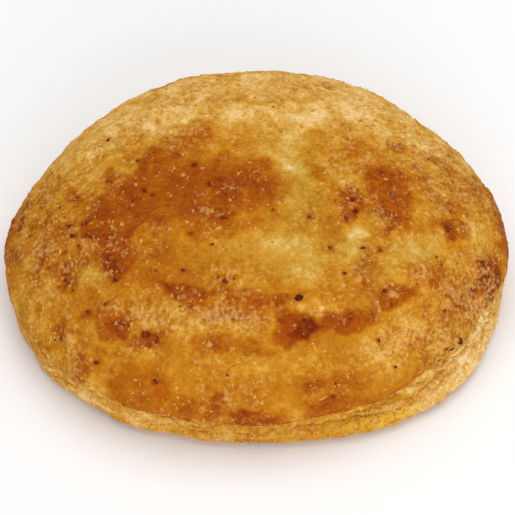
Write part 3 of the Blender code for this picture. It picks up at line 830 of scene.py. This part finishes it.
cheese = {
    "segments": 420,
    "rings": (30, 14, 8),  # on top, round its edge and below
    "top": 0.0090,
    "inset": 0.050,
    "wander": [(12, 0.008)],  # wave in degrees round its edge, how far it runs out or in
    # direction in degrees, spread in degrees, how far it runs out
    "oozes": [(-53, 16, 0.105), (160, 12, 0.030), (48, 9, 0.035)],
    "edgeRound": 0.016,
    "rest": 0.0004,  # air under it where it bends over the heel's edge
    "ripples": [(0.0060, 0.00050), (0.0030, 0.00035), (0.0015, 0.00018)],
    "ragged": [(6, 0.014), (2.5, 0.007)],  # bites of its edge where it shows
    # middle of each look, and how strongly noise changes it
    "tone": (0.26, 1.7),
    "crumb": (0.3, 1.6),
    "olive": (0.28, 0.22),
    "oliveSize": 0.008,
    "torn": 0.3,
    "yellow": [(-62, 16, 0.50), (-45, 40, 0.30)],
    "yellowNoise": [(0.004, 0.5)],
}


# the cheese's outline, which runs out where it oozes
def cheeseReach(angle):
    reach = 1 - cheese["inset"] - crown["drawsBack"] * gape(angle)
    reach = reach + bitten(angle, cheese["wander"], 41) + runOut(angle, cheese["oozes"])
    return reach + gape(angle) * bitten(angle, cheese["ragged"], 42)


# how far the sheet bends down with the heel's round edge, a quarter of an ellipse, and how
# far past the heel's flat top it is, as a share of that edge
def heelBelow(points, angle, reach):
    bulge = rimBulge(points) / np.hypot(*outline(angle, 1))
    past = (reach - bulge) / heelReach(angle) - (1 - heel["nose"])
    past = np.clip(past / heel["nose"], 0, 0.9)
    return (heel["top"] - heel["noseHeight"]) * (1 - np.sqrt(1 - past * past)), past


# from the middle of the top to the middle below: flat, half a circle round its edge, flat
def cheeseProfile(top, bottom):
    turn = np.linspace(0, np.pi, 60)
    flat = 1 - cheese["edgeRound"]
    rounded = 0.5 * (top + bottom) + 0.5 * (top - bottom) * np.cos(turn)
    shapes = [
        (np.array([0.0, flat]), np.full(2, top)),
        (flat + cheese["edgeRound"] * np.sin(turn), rounded),
        (np.array([flat, 0.0]), np.full(2, bottom)),
    ]
    return joined(*(stretch(*shape, rings) for shape, rings in zip(shapes, cheese["rings"])))


# a thin flat sheet draped over the heel's edge, with ripples where it shows
def cheeseSurface():
    top, bottom = cheese["top"], heel["top"] + sandwich["gap"]
    share, height = cheeseProfile(top, bottom)
    angle, ring, triangles = turnedGrid(len(share) - 1, cheese["segments"])
    share, height = share[ring], height[ring]
    onTop = height > 0.5 * (top + bottom)
    reach = share * cheeseReach(angle)
    x, y = outline(angle, reach)
    points = np.stack([x, y, height], axis=-1)
    drop, past = heelBelow(points, angle, reach)
    lift = (cheese["rest"] - sandwich["gap"]) * np.clip(5 * past - 0.5, 0, 1)
    ripple = bumps(points, cheese["ripples"], 63) * smooth(past, 0.02, 0.3) * onTop
    points[:, 2] += lift - drop + ripple
    yellow = runOut(angle, cheese["yellow"]) + bumps(points, cheese["yellowNoise"], 64)
    return points, triangles, {
        "tone": uneven(cheese["tone"], mixedNoise(points, crown["mottles"], 61)),
        "olive": uneven(cheese["olive"], noise(points, cheese["oliveSize"], 62)),
        "torn": np.full(len(points), cheese["torn"]),
        "crumb": uneven(cheese["crumb"], mixedNoise(points, crown["flakes"], 65)),
        "yellow": np.clip(yellow, 0, 0.9),
        "right": share * np.cos(angle),
        "up": share * np.sin(angle),
        "onTop": onTop,
    }


# a new shader group with named inputs and outputs, for use by several materials
def startGroup(name, inputs, outputs):
    group = bpy.data.node_groups.new(name, "ShaderNodeTree")
    for socket, value in inputs.items():
        made = group.interface.new_socket(
            name=socket, in_out="INPUT", socket_type="NodeSocketFloat"
        )
        made.default_value = value
    for socket, kind in outputs.items():
        group.interface.new_socket(name=socket, in_out="OUTPUT", socket_type=kind)
    return group, group.nodes.new("NodeGroupInput"), group.nodes.new("NodeGroupOutput")


# a node with its settings, and links or plain values given to its inputs by name or number
def addNode(tree, kind, settings=None, **links):
    node = tree.nodes.new(kind)
    for key, value in (settings or {}).items():
        if hasattr(node, key):
            setattr(node, key, value)
        else:
            node.inputs[key].default_value = value
    for key, source in links.items():
        socket = node.inputs[int(key[2:])] if key.startswith("in") else node.inputs[key]
        if isinstance(source, (int, float)):
            socket.default_value = source
        else:
            tree.links.new(source, socket)
    return node


# one step of arithmetic on two values
def maths(tree, operation, first, second, clamp=False):
    node = addNode(tree, "ShaderNodeMath", {"operation": operation}, in0=first, in1=second)
    node.use_clamp = clamp
    return node.outputs[0]


# a colour in parts of 255 as a shader wants it: the screen's curve is taken out
def srgb(red, green, blue):
    share = np.array([red, green, blue]) / 255
    linear = np.where(share <= 0.04045, share / 12.92, ((share + 0.055) / 1.055) ** 2.4)
    return (*linear, 1)


toast = {
    # colours of bread from pale crumb to dark crust, as red, green and blue of 255
    "colours": [
        (0.00, 240, 196, 122), (0.15, 222, 168, 78), (0.30, 204, 141, 42),
        (0.45, 190, 120, 22), (0.60, 176, 100, 14), (0.75, 161, 80, 11),
        (0.90, 143, 60, 10), (1.00, 110, 40, 10),
    ],
    "crumbColour": (233, 188, 114),
    "crumbShare": 0.60,  # how far a flake of crumb takes on that colour
    "fleckLimit": 0.66,  # the noise over which a fleck of crumb shows
    "fleckRange": 0.34,  # how much lower that is where there is most crumb
    "fleckSharp": 2.6,  # how sharply it comes out
    "yellowColour": (232, 180, 44),
    "oliveTint": (0.93, 1.18, 1.90, 1),
    "grainSize": 0.0009,
    "fineSize": 0.00035,
    "fleckSize": 0.0010,
    "grainShare": 0.65,  # of the coarse grains in the mottle; the fine ones have the rest
    "fleckHeight": 0.6,
    "mottleShows": (0.4, 0.8),  # where the bread is whole, and how much more where it is torn
    "bumpHeight": 0.0003,
}


# clouds of that size in metres
def clouds(tree, size, detail, place):
    look = {"Scale": 1 / size, "Detail": detail}
    return addNode(tree, "ShaderNodeTexNoise", look, Vector=place).outputs[0]


# one colour mixed towards another plain one by a share, or multiplied by it
def towards(tree, share, first, second, blend="MIX"):
    look = {"data_type": "RGBA", "blend_type": blend}
    node = addNode(tree, "ShaderNodeMix", look, in0=share, in6=first)
    node.inputs[7].default_value = second
    return node.outputs[2]


# fine unevenness of crumb: light and dark grains, flecks of pale crumb, and a height for bump
def crumbGroup():
    group, enter, leave = startGroup(
        "crumbGrain",
        {"Size": 1.0, "Crumb": 0.0},
        {"Mottle": "NodeSocketFloat", "Crumb": "NodeSocketFloat", "Height": "NodeSocketFloat"},
    )
    place = addNode(group, "ShaderNodeTexCoord").outputs["Object"]
    sized = addNode(
        group, "ShaderNodeVectorMath", {"operation": "SCALE"}, in0=place,
        Scale=maths(group, "DIVIDE", 1.0, enter.outputs["Size"]),
    ).outputs[0]
    coarse = clouds(group, toast["grainSize"], 3, sized)
    fine = clouds(group, toast["fineSize"], 2, sized)
    mottle = maths(
        group, "ADD",
        maths(group, "MULTIPLY", coarse, toast["grainShare"]),
        maths(group, "MULTIPLY", fine, 1 - toast["grainShare"]),
    )
    group.links.new(mottle, leave.inputs["Mottle"])
    # crumb shows where fine noise rises over a limit, which is lower where there is more of it
    flake = clouds(group, toast["fleckSize"], 2, sized)
    limit = maths(
        group, "SUBTRACT", toast["fleckLimit"],
        maths(group, "MULTIPLY", enter.outputs["Crumb"], toast["fleckRange"]),
    )
    crumb = maths(
        group, "MULTIPLY", maths(group, "SUBTRACT", flake, limit),
        toast["fleckSharp"], True,
    )
    group.links.new(crumb, leave.inputs["Crumb"])
    group.links.new(
        maths(group, "ADD", mottle, maths(group, "MULTIPLY", crumb, toast["fleckHeight"])),
        leave.inputs["Height"],
    )
    return group


# bread's colour from how toasted and how olive it is, paler where there is torn crumb
def toastGroup():
    group, enter, leave = startGroup(
        "toastColour",
        {"Tone": 0.4, "Olive": 0.3, "Crumb": 0.0, "Yellow": 0.0},
        {"Color": "NodeSocketColor"},
    )
    ramp = addNode(group, "ShaderNodeValToRGB", in0=enter.outputs["Tone"])
    stops = ramp.color_ramp.elements
    while len(stops) < len(toast["colours"]):
        stops.new(0.5)
    for stop, (position, red, green, blue) in zip(stops, toast["colours"]):
        stop.position = position
        stop.color = srgb(red, green, blue)
    tinted = towards(
        group, enter.outputs["Olive"], ramp.outputs[0], toast["oliveTint"], "MULTIPLY"
    )
    buttery = towards(group, enter.outputs["Yellow"], tinted, srgb(*toast["yellowColour"]))
    share = maths(group, "MULTIPLY", enter.outputs["Crumb"], toast["crumbShare"])
    paler = towards(group, share, buttery, srgb(*toast["crumbColour"]))
    group.links.new(paler, leave.inputs["Color"])
    return group


looks = {
    "toastedCrust": {
        "size": 1.0, "mottle": 0.95, "flecks": 1.0, "bump": 0.8, "specular": 0.03,
        "roughPale": 0.80, "roughDark": 0.60,
    },
    "softBread": {
        "size": 1.1, "mottle": 0.50, "flecks": 0.9, "bump": 0.5, "specular": 0.03,
        "roughPale": 0.80, "roughDark": 0.60,
    },
    "meltedCheese": {
        "size": 1.3, "mottle": 0.50, "flecks": 0.8, "bump": 0.40, "specular": 0.15,
        "roughPale": 0.40, "roughDark": 0.40,
    },
}


# bread or cheese: its colour and roughness follow the tone, mottled by the grains of crumb,
# which also give it a fine bump
def breadMaterial(name, groups):
    look = looks[name]
    material = bpy.data.materials.new(name)
    material.use_nodes = True
    tree = material.node_tree
    shader = tree.nodes["Principled BSDF"]
    given = {
        key: addNode(tree, "ShaderNodeAttribute", {"attribute_name": key}).outputs["Fac"]
        for key in ("tone", "olive", "torn", "crumb", "yellow")
    }
    crumb = addNode(
        tree, "ShaderNodeGroup", {"node_tree": groups["crumb"], "Size": look["size"]},
        Crumb=given["crumb"],
    )
    centred = maths(tree, "SUBTRACT", crumb.outputs["Mottle"], 0.5)
    whole, more = toast["mottleShows"]
    amount = maths(tree, "ADD", maths(tree, "MULTIPLY", given["torn"], more), whole)
    mottled = maths(tree, "MULTIPLY", centred, maths(tree, "MULTIPLY", amount, -look["mottle"]))
    total = maths(tree, "ADD", given["tone"], mottled, clamp=True)
    colour = addNode(
        tree, "ShaderNodeGroup", {"node_tree": groups["toast"]},
        Tone=total, Olive=given["olive"], Yellow=given["yellow"],
        Crumb=maths(tree, "MULTIPLY", crumb.outputs["Crumb"], look["flecks"]),
    )
    tree.links.new(colour.outputs["Color"], shader.inputs["Base Color"])
    rough = addNode(
        tree, "ShaderNodeMapRange", {"To Min": look["roughPale"], "To Max": look["roughDark"]},
        Value=total,
    )
    tree.links.new(rough.outputs[0], shader.inputs["Roughness"])
    bump = addNode(
        tree, "ShaderNodeBump", {"Strength": look["bump"], "Distance": toast["bumpHeight"]},
        Height=crumb.outputs["Height"],
    )
    tree.links.new(bump.outputs[0], shader.inputs["Normal"])
    shader.inputs["Specular IOR Level"].default_value = look["specular"]
    return material


char = {
    "darkest": (52, 21, 8),
    "lightest": (128, 60, 22),
    "cloudSize": 0.0004,
    "cloudShare": 0.3,
    "roughness": 0.75,
    "specular": 0.1,
}


# dark specks, each with a shade of its own, a little clouded
def charMaterial():
    material = bpy.data.materials.new("charSpeck")
    material.use_nodes = True
    tree = material.node_tree
    shader = tree.nodes["Principled BSDF"]
    place = addNode(tree, "ShaderNodeTexCoord").outputs["Object"]
    cloud = clouds(tree, char["cloudSize"], 2, place)
    shade = addNode(tree, "ShaderNodeAttribute", {"attribute_name": "shade"}).outputs["Fac"]
    clouded = maths(tree, "MULTIPLY", cloud, char["cloudShare"])
    mixed = maths(tree, "ADD", shade, clouded, clamp=True)
    ramp = addNode(tree, "ShaderNodeValToRGB", in0=mixed)
    stops = ramp.color_ramp.elements
    stops[0].color, stops[1].color = srgb(*char["darkest"]), srgb(*char["lightest"])
    tree.links.new(ramp.outputs[0], shader.inputs["Base Color"])
    shader.inputs["Roughness"].default_value = char["roughness"]
    shader.inputs["Specular IOR Level"].default_value = char["specular"]
    return material


# a ball of 32 faces: each face of an eight-sided solid cut in four at the middles of its
# edges, and all points set at the same distance from the middle
def smallBall():
    points = np.array(
        [(1, 0, 0), (-1, 0, 0), (0, 1, 0), (0, -1, 0), (0, 0, 1), (0, 0, -1)], float
    )
    faces = np.array(
        [(0, 2, 4), (2, 1, 4), (1, 3, 4), (3, 0, 4), (2, 0, 5), (1, 2, 5), (3, 1, 5), (0, 3, 5)]
    )
    a, b, c = (points[faces[:, k]] for k in range(3))
    corners = np.concatenate([a, b, c, (a + b) / 2, (b + c) / 2, (c + a) / 2])
    corners /= np.linalg.norm(corners, axis=1, keepdims=True)
    points, back = np.unique(corners.round(6), axis=0, return_inverse=True)
    a, b, c, ab, bc, ca = back.reshape(6, -1)
    cut = [np.stack(t, axis=-1) for t in ((a, ab, ca), (ab, b, bc), (ca, bc, c), (ab, bc, ca))]
    return points, np.concatenate(cut)


# many small lumps in one mesh: the ball stretched to each lump's sizes, made uneven by noise,
# spun at random about the surface's direction and sunk a little into it; gives how many
# points each one has too
def lumps(places, normals, sizes, flat, sink, rough, seed):
    ball, faces = smallBall()
    draw = np.random.default_rng(seed)
    count = len(places)
    spin = draw.uniform(0, 2 * np.pi, count)
    side = np.cross(normals, np.array([0.3, 0.5, 0.81]))  # across the surface, any way
    side /= np.linalg.norm(side, axis=1, keepdims=True)
    other = np.cross(normals, side)
    first = side * np.cos(spin)[:, None] + other * np.sin(spin)[:, None]
    second = np.cross(normals, first)
    shape = ball[None] * sizes[:, None, :]
    shift = draw.uniform(0, 50, (count, 1, 3))
    shape = shape * (1 + rough * noise(ball[None] + shift, 0.8, 7))[..., None]
    shape[..., 2] *= flat
    points = (
        places[:, None] - (sink * sizes[:, 0] * flat)[:, None, None] * normals[:, None]
        + shape[..., :1] * first[:, None]
        + shape[..., 1:2] * second[:, None]
        + shape[..., 2:] * normals[:, None]
    )
    triangles = faces[None] + (np.arange(count) * len(ball))[:, None, None]
    return points.reshape(-1, 3), triangles.reshape(-1, 3), len(ball)


specks = {
    "scattered": 150,
    "scatteredSize": (0.12, 0.32),  # half lengths in millimetres
    "within": 0.97,  # how far from the top the scattered ones lie
    "narrower": (0.55, 0.95),  # width as a share of the length
    "shade": (0, 0.6),
    "shape": {"flat": 0.22, "sink": 0.2, "rough": 0.8},
    # how dark the stain round a speck is, how wide, and how ragged
    "stain": 0.34,
    "stainSize": 0.012,
    "stainRagged": [(0.0012, 0.004)],
    # place on the crust and half length in millimetres
    "listed": [
        (-0.20, 0.14, 0.7), (-0.15, 0.05, 0.4), (-0.35, 0.03, 0.4), (-0.32, 0.01, 0.4),
        (-0.10, -0.10, 0.4), (-0.20, -0.16, 0.6), (-0.14, -0.21, 0.4), (-0.48, 0.12, 0.4),
        (-0.46, 0.10, 0.4), (-0.38, 0.19, 0.5), (-0.58, 0.06, 0.4), (-0.63, 0.03, 0.6),
        (-0.58, -0.07, 0.7), (-0.53, -0.07, 0.6), (-0.57, -0.12, 0.7), (-0.54, -0.17, 0.4),
        (-0.65, -0.03, 0.4), (-0.74, -0.05, 0.4), (-0.50, 0.37, 0.6), (0.29, -0.02, 0.6),
        (0.30, -0.07, 0.6), (0.27, -0.10, 0.5), (0.16, -0.10, 0.6), (0.05, -0.07, 0.4),
        (0.36, -0.06, 0.4), (0.55, -0.04, 0.4), (0.59, -0.08, 0.9), (0.42, 0.03, 0.4),
        (0.05, 0.42, 0.4), (0.23, -0.23, 0.6), (0.33, -0.22, 0.6), (0.38, -0.22, 0.4),
        (-0.43, -0.32, 0.7), (-0.12, -0.35, 0.6), (-0.10, -0.37, 0.6), (-0.07, -0.36, 0.4),
        (-0.22, -0.31, 0.4), (-0.45, -0.40, 0.4), (-0.57, -0.33, 0.4), (-0.52, -0.42, 0.4),
        (-0.34, -0.53, 0.7), (-0.64, -0.50, 0.5), (-0.52, -0.61, 0.7), (-0.33, -0.71, 0.9),
        (-0.10, -0.72, 0.4), (-0.36, -0.90, 0.7), (-0.25, -0.88, 0.4), (-0.47, -0.79, 0.4),
        (0.13, -0.44, 1.4), (0.27, -0.33, 0.4), (0.40, -0.38, 0.5), (0.40, -0.57, 0.6),
        (0.58, -0.23, 0.6), (0.56, -0.21, 0.4), (0.50, -0.33, 0.4), (0.62, -0.41, 0.4),
        (0.70, -0.50, 0.8), (0.67, -0.54, 0.6), (0.65, -0.55, 0.4), (0.47, -0.66, 0.4),
        (0.27, -0.75, 0.4), (0.26, -0.79, 0.4),
    ],
}


# the crown's points nearest to the asked places on the unrolled crust
def nearestOnCrust(facts, places):
    usable = np.flatnonzero(facts["onTop"])
    here = np.stack([facts["right"][usable], facts["up"][usable]], axis=-1)
    return np.array([usable[np.argmin(np.sum((here - p) ** 2, axis=1))] for p in places])


# the listed specks and small ones scattered evenly over the crust
def makeSpecks(surface, material):
    points, normals, facts = surface
    draw = np.random.default_rng(5)
    listed = np.array(specks["listed"])
    radius = specks["within"] * np.sqrt(draw.uniform(0, 1, specks["scattered"]))
    around = draw.uniform(0, 2 * np.pi, specks["scattered"])
    scattered = np.stack([radius * np.cos(around), radius * np.sin(around)], axis=-1)
    where = nearestOnCrust(facts, np.concatenate([listed[:, :2], scattered]))
    half = np.concatenate([listed[:, 2], draw.uniform(*specks["scatteredSize"], len(radius))])
    half = half * 0.001
    count = len(half)
    sizes = np.stack([half, half * draw.uniform(*specks["narrower"], count), half], axis=-1)
    mesh, triangles, each = lumps(
        points[where], normals[where], sizes, **specks["shape"], seed=6
    )
    shade = np.repeat(draw.uniform(*specks["shade"], count), each)
    makePiece("charSpecks", mesh, triangles, {"shade": shade}, material, "toasted_crust")


crumbs = {
    "count": 5000,
    "onWhole": 0.10,  # chance of one on whole crust, next to 1.1 where it is fully torn
    "onTorn": 1.5,  # the power to which that chance is raised
    "onBrown": 0.09,  # how many more of them lie on the dark crust
    "size": (0.14, 0.72),  # half lengths in millimetres
    "smallOften": 1.7,  # above 1 small ones are more frequent than large
    "narrower": (0.45, 1),  # width as a share of the length
    # larger flakes: place on the crust and half length in millimetres
    "flakes": [
        (-0.38, -0.52, 0.9), (-0.38, -0.55, 0.8), (-0.11, -0.43, 0.9), (0.20, -0.47, 0.7),
        (-0.44, -0.59, 0.8), (0.24, -0.50, 0.6), (0.43, -0.35, 0.7), (-0.02, -0.52, 0.6),
        (0.47, -0.14, 0.6), (0.37, -0.17, 0.6),
    ],
    "toneShare": 0.58,  # of the tone of the bread that they lie on
    "toneMore": (0.02, 0.22),
    "olive": (0, 0.28),
    "torn": 0.5,
    "pale": (0.5, 1.2),
    "shape": {"flat": 0.40, "sink": 0.35, "rough": 0.65},
    # near the edge of each layer: how many, half lengths in millimetres, how far out they
    # begin, and where round the rim: direction and spread in degrees, how thickly
    "edges": {
        "seamCrumbs": (2300, 0.12, 0.60, 0.955, [(-90, 75, 1), (-35, 25, 0.6), (90, 80, 0.35)]),
        "rimCrumbs": (4000, 0.14, 0.75, 0.93, [(-40, 40, 1), (-115, 50, 0.8), (90, 80, 0.4)]),
        "cheeseCrumbs": (420, 0.20, 0.95, 0.91, [(-56, 20, 1)]),
        "doughCrumbs": (1300, 0.14, 0.80, 0, [(-85, 75, 1)]),
    },
}


# sizes between two lengths in millimetres, small ones far more often than large
def crumbSizes(draw, small, large, count):
    share = draw.uniform(0, 1, count) ** crumbs["smallOften"]
    return 0.001 * (small + (large - small) * share)


# points of a surface drawn at random, each with its own chance
def pickPoints(draw, chance, count):
    return draw.choice(len(chance), count, p=chance / chance.sum(), replace=False)


# chance of a crumb near the rim: past a share of the outline, in lobes round the middle
def rimChance(facts, inner, lobes):
    far = np.hypot(facts["right"], facts["up"])
    return facts["onTop"] * (far > inner) * runOut(np.arctan2(facts["up"], facts["right"]), lobes)


# torn crumbs stuck to the picked points of a surface, pale and uneven
def makeCrumbs(name, where, half, surface, material, slot):
    points, normals, facts = surface
    draw = np.random.default_rng(len(where))
    count = len(where)
    sizes = np.stack([half, half * draw.uniform(*crumbs["narrower"], count), half], axis=-1)
    mesh, triangles, each = lumps(
        points[where], normals[where], sizes, **crumbs["shape"], seed=9
    )
    tone = facts["tone"][where] * crumbs["toneShare"] + draw.uniform(*crumbs["toneMore"], count)
    shown = {
        "tone": np.repeat(np.clip(tone, 0, 1), each),
        "olive": np.repeat(draw.uniform(*crumbs["olive"], count), each),
        "torn": np.full(count * each, crumbs["torn"]),
        "crumb": np.repeat(draw.uniform(*crumbs["pale"], count), each),
    }
    makePiece(name, mesh, triangles, shown, material, slot)


# crumbs over the crust, thickest where it is torn, and the larger flakes
def makeLooseCrumbs(surface, material):
    draw = np.random.default_rng(8)
    facts = surface[2]
    chance = (crumbs["onWhole"] + facts["torn"]) ** crumbs["onTorn"]
    chance = facts["onTop"] * (chance + crumbs["onBrown"] * smooth(facts["tone"], 0.55, 0.75))
    chosen = pickPoints(draw, chance, crumbs["count"])
    flakes = np.array(crumbs["flakes"])
    where = np.concatenate([nearestOnCrust(facts, flakes[:, :2]), chosen])
    half = crumbSizes(draw, *crumbs["size"], crumbs["count"])
    half = np.concatenate([0.001 * flakes[:, 2], half])
    makeCrumbs("looseCrumbs", where, half, surface, material, "toasted_crust")


# crumbs near the edge of one layer, as one of the entries of crumbs["edges"] says
def makeEdgeCrumbs(name, surface, material, slot):
    count, small, large, inner, lobes = crumbs["edges"][name]
    draw = np.random.default_rng(count)
    where = pickPoints(draw, rimChance(surface[2], inner, lobes), count)
    half = crumbSizes(draw, small, large, count)
    makeCrumbs(name, where, half, surface, material, slot)


dough = {
    "from": -188,
    "to": 4,
    "steps": 1400,
    "around": 60,
    "hidden": 0.020,  # how far it starts inside the crown's lip, as a share of the outline
    # direction in degrees, and how far it stands out of the lip there, as a share of the outline
    "reach": [
        (-188, 0.004), (-160, 0.018), (-120, 0.026), (-84, 0.024), (-70, 0.024),
        (-60, 0.036), (-50, 0.050), (-40, 0.062), (-28, 0.060), (-20, 0.048),
        (-12, 0.030), (4, 0.004),
    ],
    "ragged": [(7, 0.45), (3, 0.35)],  # wave in degrees, share by which its reach varies
    "droop": 0.45,  # how far it sinks for each step outward
    "onCheese": [(-60, 14, 0.30)],  # direction, spread, how much less it sinks there
    "thicker": [(-70, 18, 0.0028), (-110, 22, 0.0018), (-40, 12, 0.0010)],  # the same, upwards
    "middle": 0.0081,
    "half": 0.0027,
    "tone": 0.33,
    "meltedPaler": 0.30,  # where the sandwich gapes
    # direction, spread in degrees, how much darker; below 0 is paler
    "darker": [(-66, 12, 0.24), (-92, 14, 0.06), (-125, 20, -0.14)],
    # how much darker its creases are: painted shade
    "creaseDarker": 0.12,
    "crumb": (0.55, 0.9),  # middle, and how strongly noise changes it
    "torn": 0.7,
    # the olive added in a crease is painted shade
    "olive": (0.25, 0.20, 0.2),  # everywhere, more in a crease, more where the sandwich gapes
    "yellow": [(-64, 14, 0.60)],
    "lumps": [(0.0048, 0.0007), (0.0023, 0.0005), (0.0011, 0.0003)],
    "crease": (0.0046, 0.20, 0.0005),  # size, softness, depth
}


# a ragged ledge of torn bread between crown and heel, widest where the sandwich gapes: a
# flattened tube that follows the crown's lip, an ellipse across and thinned at both ends by
# the root of a sine; it droops outward and carries lumps and creases
def doughSurface():
    turn, step, triangles = turnedGrid(dough["steps"], dough["around"])
    along = step / dough["steps"]
    degrees = dough["from"] + (dough["to"] - dough["from"]) * along
    angle = np.radians(degrees)
    thin = np.sin(np.pi * along) ** 0.5
    out, hill = np.cos(turn), np.sin(turn)
    direction, reach = np.array(dough["reach"]).T
    reach = np.interp(degrees, direction, reach) * (1 + bitten(angle, dough["ragged"], 79))
    wide = 0.5 * thin * (reach * (1 + out) - dough["hidden"] * (1 - out))
    lip = (1 - crown["lipTuck"]) * (1 - crown["drawsBack"] * gape(angle))
    x, y = outline(angle, lip + wide)
    droop = dough["droop"] - runOut(angle, dough["onCheese"])
    z = dough["middle"] + dough["half"] * thin * hill
    z += 0.5 * (1 + hill) * runOut(angle, dough["thicker"])
    z -= droop * np.maximum(wide, 0) * 0.5 * sandwich["width"]
    base = np.stack([x, y, z], axis=-1)
    size, soft, deep = dough["crease"]
    crease, _ = creases(base, size, soft, 77)
    bulge = bumps(base, dough["lumps"], 76) - deep * crease
    bulge *= thin * (0.5 + 0.5 * gape(angle))
    away = np.stack([out * np.cos(angle), out * np.sin(angle), hill], axis=-1)
    tone = dough["tone"] - dough["meltedPaler"] * gape(angle) + runOut(angle, dough["darker"])
    # painted shade darkens the creases
    tone += dough["creaseDarker"] * crease + mixedNoise(base, crown["mottles"], 71)
    # painted olive shade in the creases
    olive, creaseOliveShade, atGape = dough["olive"]
    return base + bulge[:, None] * away, triangles, {
        "tone": np.clip(tone, 0, 1),
        "olive": np.clip(olive + creaseOliveShade * crease + atGape * gape(angle), 0, 1),
        "torn": np.full(len(base), dough["torn"]),
        "crumb": uneven(dough["crumb"], mixedNoise(base, crown["flakes"], 73)),
        "yellow": runOut(angle, dough["yellow"]),
        "right": np.cos(angle),
        "up": np.sin(angle),
        "onTop": (out > -0.1) & (hill > -0.4),
    }


# makes a layer and gives its surface back: points, outward directions and facts
def makeLayer(name, shape, material, slot, *nodes):
    points, triangles, facts = shape()
    shown = {key: facts[key] for key in ("tone", "olive", "torn", "crumb", "yellow")}
    makePiece(name, points, triangles, shown, material, slot, *nodes)
    return points, pointNormals(points, triangles), facts


groups = {"crumb": crumbGroup(), "toast": toastGroup()}
crust = breadMaterial("toastedCrust", groups)
softBread = breadMaterial("softBread", groups)
meltedCheese = breadMaterial("meltedCheese", groups)

surface = makeLayer("toastedCrown", crownSurface, crust, "toasted_crust", "bread_crown")
makeSpecks(surface, charMaterial())
makeLooseCrumbs(surface, crust)
makeEdgeCrumbs("seamCrumbs", surface, crust, "toasted_crust")

surface = makeLayer("tornDough", doughSurface, softBread, "soft_bread")
makeEdgeCrumbs("doughCrumbs", surface, softBread, "soft_bread")

surface = makeLayer("softHeel", heelSurface, softBread, "soft_bread", "bread_heel")
makeEdgeCrumbs("rimCrumbs", surface, softBread, "soft_bread")

surface = makeLayer(
    "cheeseSheet", cheeseSurface, meltedCheese, "melted_cheese", "melted_cheese"
)
makeEdgeCrumbs("cheeseCrumbs", surface, softBread, "soft_bread")

stageLook = {
    "floorSize": 3.0,
    "floorColour": (0.90, 0.90, 0.90, 1),
    "floorRoughness": 0.9,
    "roomColour": (1, 1, 1, 1),
    "roomStrength": 0.50,
}
floorMesh = bpy.data.meshes.new("floor")
reach = 0.5 * stageLook["floorSize"]
floorMesh.from_pydata(
    [(-reach, -reach, 0), (reach, -reach, 0), (reach, reach, 0), (-reach, reach, 0)],
    [], [(0, 1, 2, 3)],
)
floor = bpy.data.objects.new("floor", floorMesh)
bpy.context.scene.collection.objects.link(floor)
floorPaint = bpy.data.materials.new("floorPaint")
floorPaint.use_nodes = True
floorShader = floorPaint.node_tree.nodes["Principled BSDF"]
floorShader.inputs["Base Color"].default_value = stageLook["floorColour"]
floorShader.inputs["Roughness"].default_value = stageLook["floorRoughness"]
floorMesh.materials.append(floorPaint)

# place, size in metres and power in watts of each lamp, and the place that they look at
lights = {
    "overhead": ((0.05, 0.20, 0.95), 0.9, 5.8),
    "front": ((0.20, -0.80, 0.28), 0.8, 4.2),
}
lampsAim = (0, 0, 0.02)


# turns a lamp or the camera to look at a place, level
def lookAt(item, target):
    direction = Vector(target) - item.location
    item.rotation_euler = direction.to_track_quat("-Z", "Y").to_euler()


for name, (place, size, power) in lights.items():
    lamp = bpy.data.lights.new(name, "AREA")
    lamp.size = size
    lamp.energy = power
    item = bpy.data.objects.new(name, lamp)
    item.location = place
    lookAt(item, lampsAim)
    bpy.context.scene.collection.objects.link(item)

world = bpy.data.worlds.new("room")
world.use_nodes = True
background = world.node_tree.nodes["Background"]
background.inputs["Color"].default_value = stageLook["roomColour"]
background.inputs["Strength"].default_value = stageLook["roomStrength"]
bpy.context.scene.world = world
bpy.context.scene.view_settings.view_transform = "Standard"

view = {
    "elevation": math.radians(58),
    "distance": 0.70,
    "aim": (0.0003, -0.0049, 0.0146),
    "lens": 196.7,
}
cameraData = bpy.data.cameras.new("camera")
cameraData.lens = view["lens"]
cameraData.sensor_width = 36
cameraData.clip_start = 0.01
camera = bpy.data.objects.new("camera", cameraData)
away = Vector((0, -math.cos(view["elevation"]), math.sin(view["elevation"])))
camera.location = Vector(view["aim"]) + view["distance"] * away
lookAt(camera, view["aim"])
bpy.context.scene.collection.objects.link(camera)
bpy.context.scene.camera = camera
print("stage set")
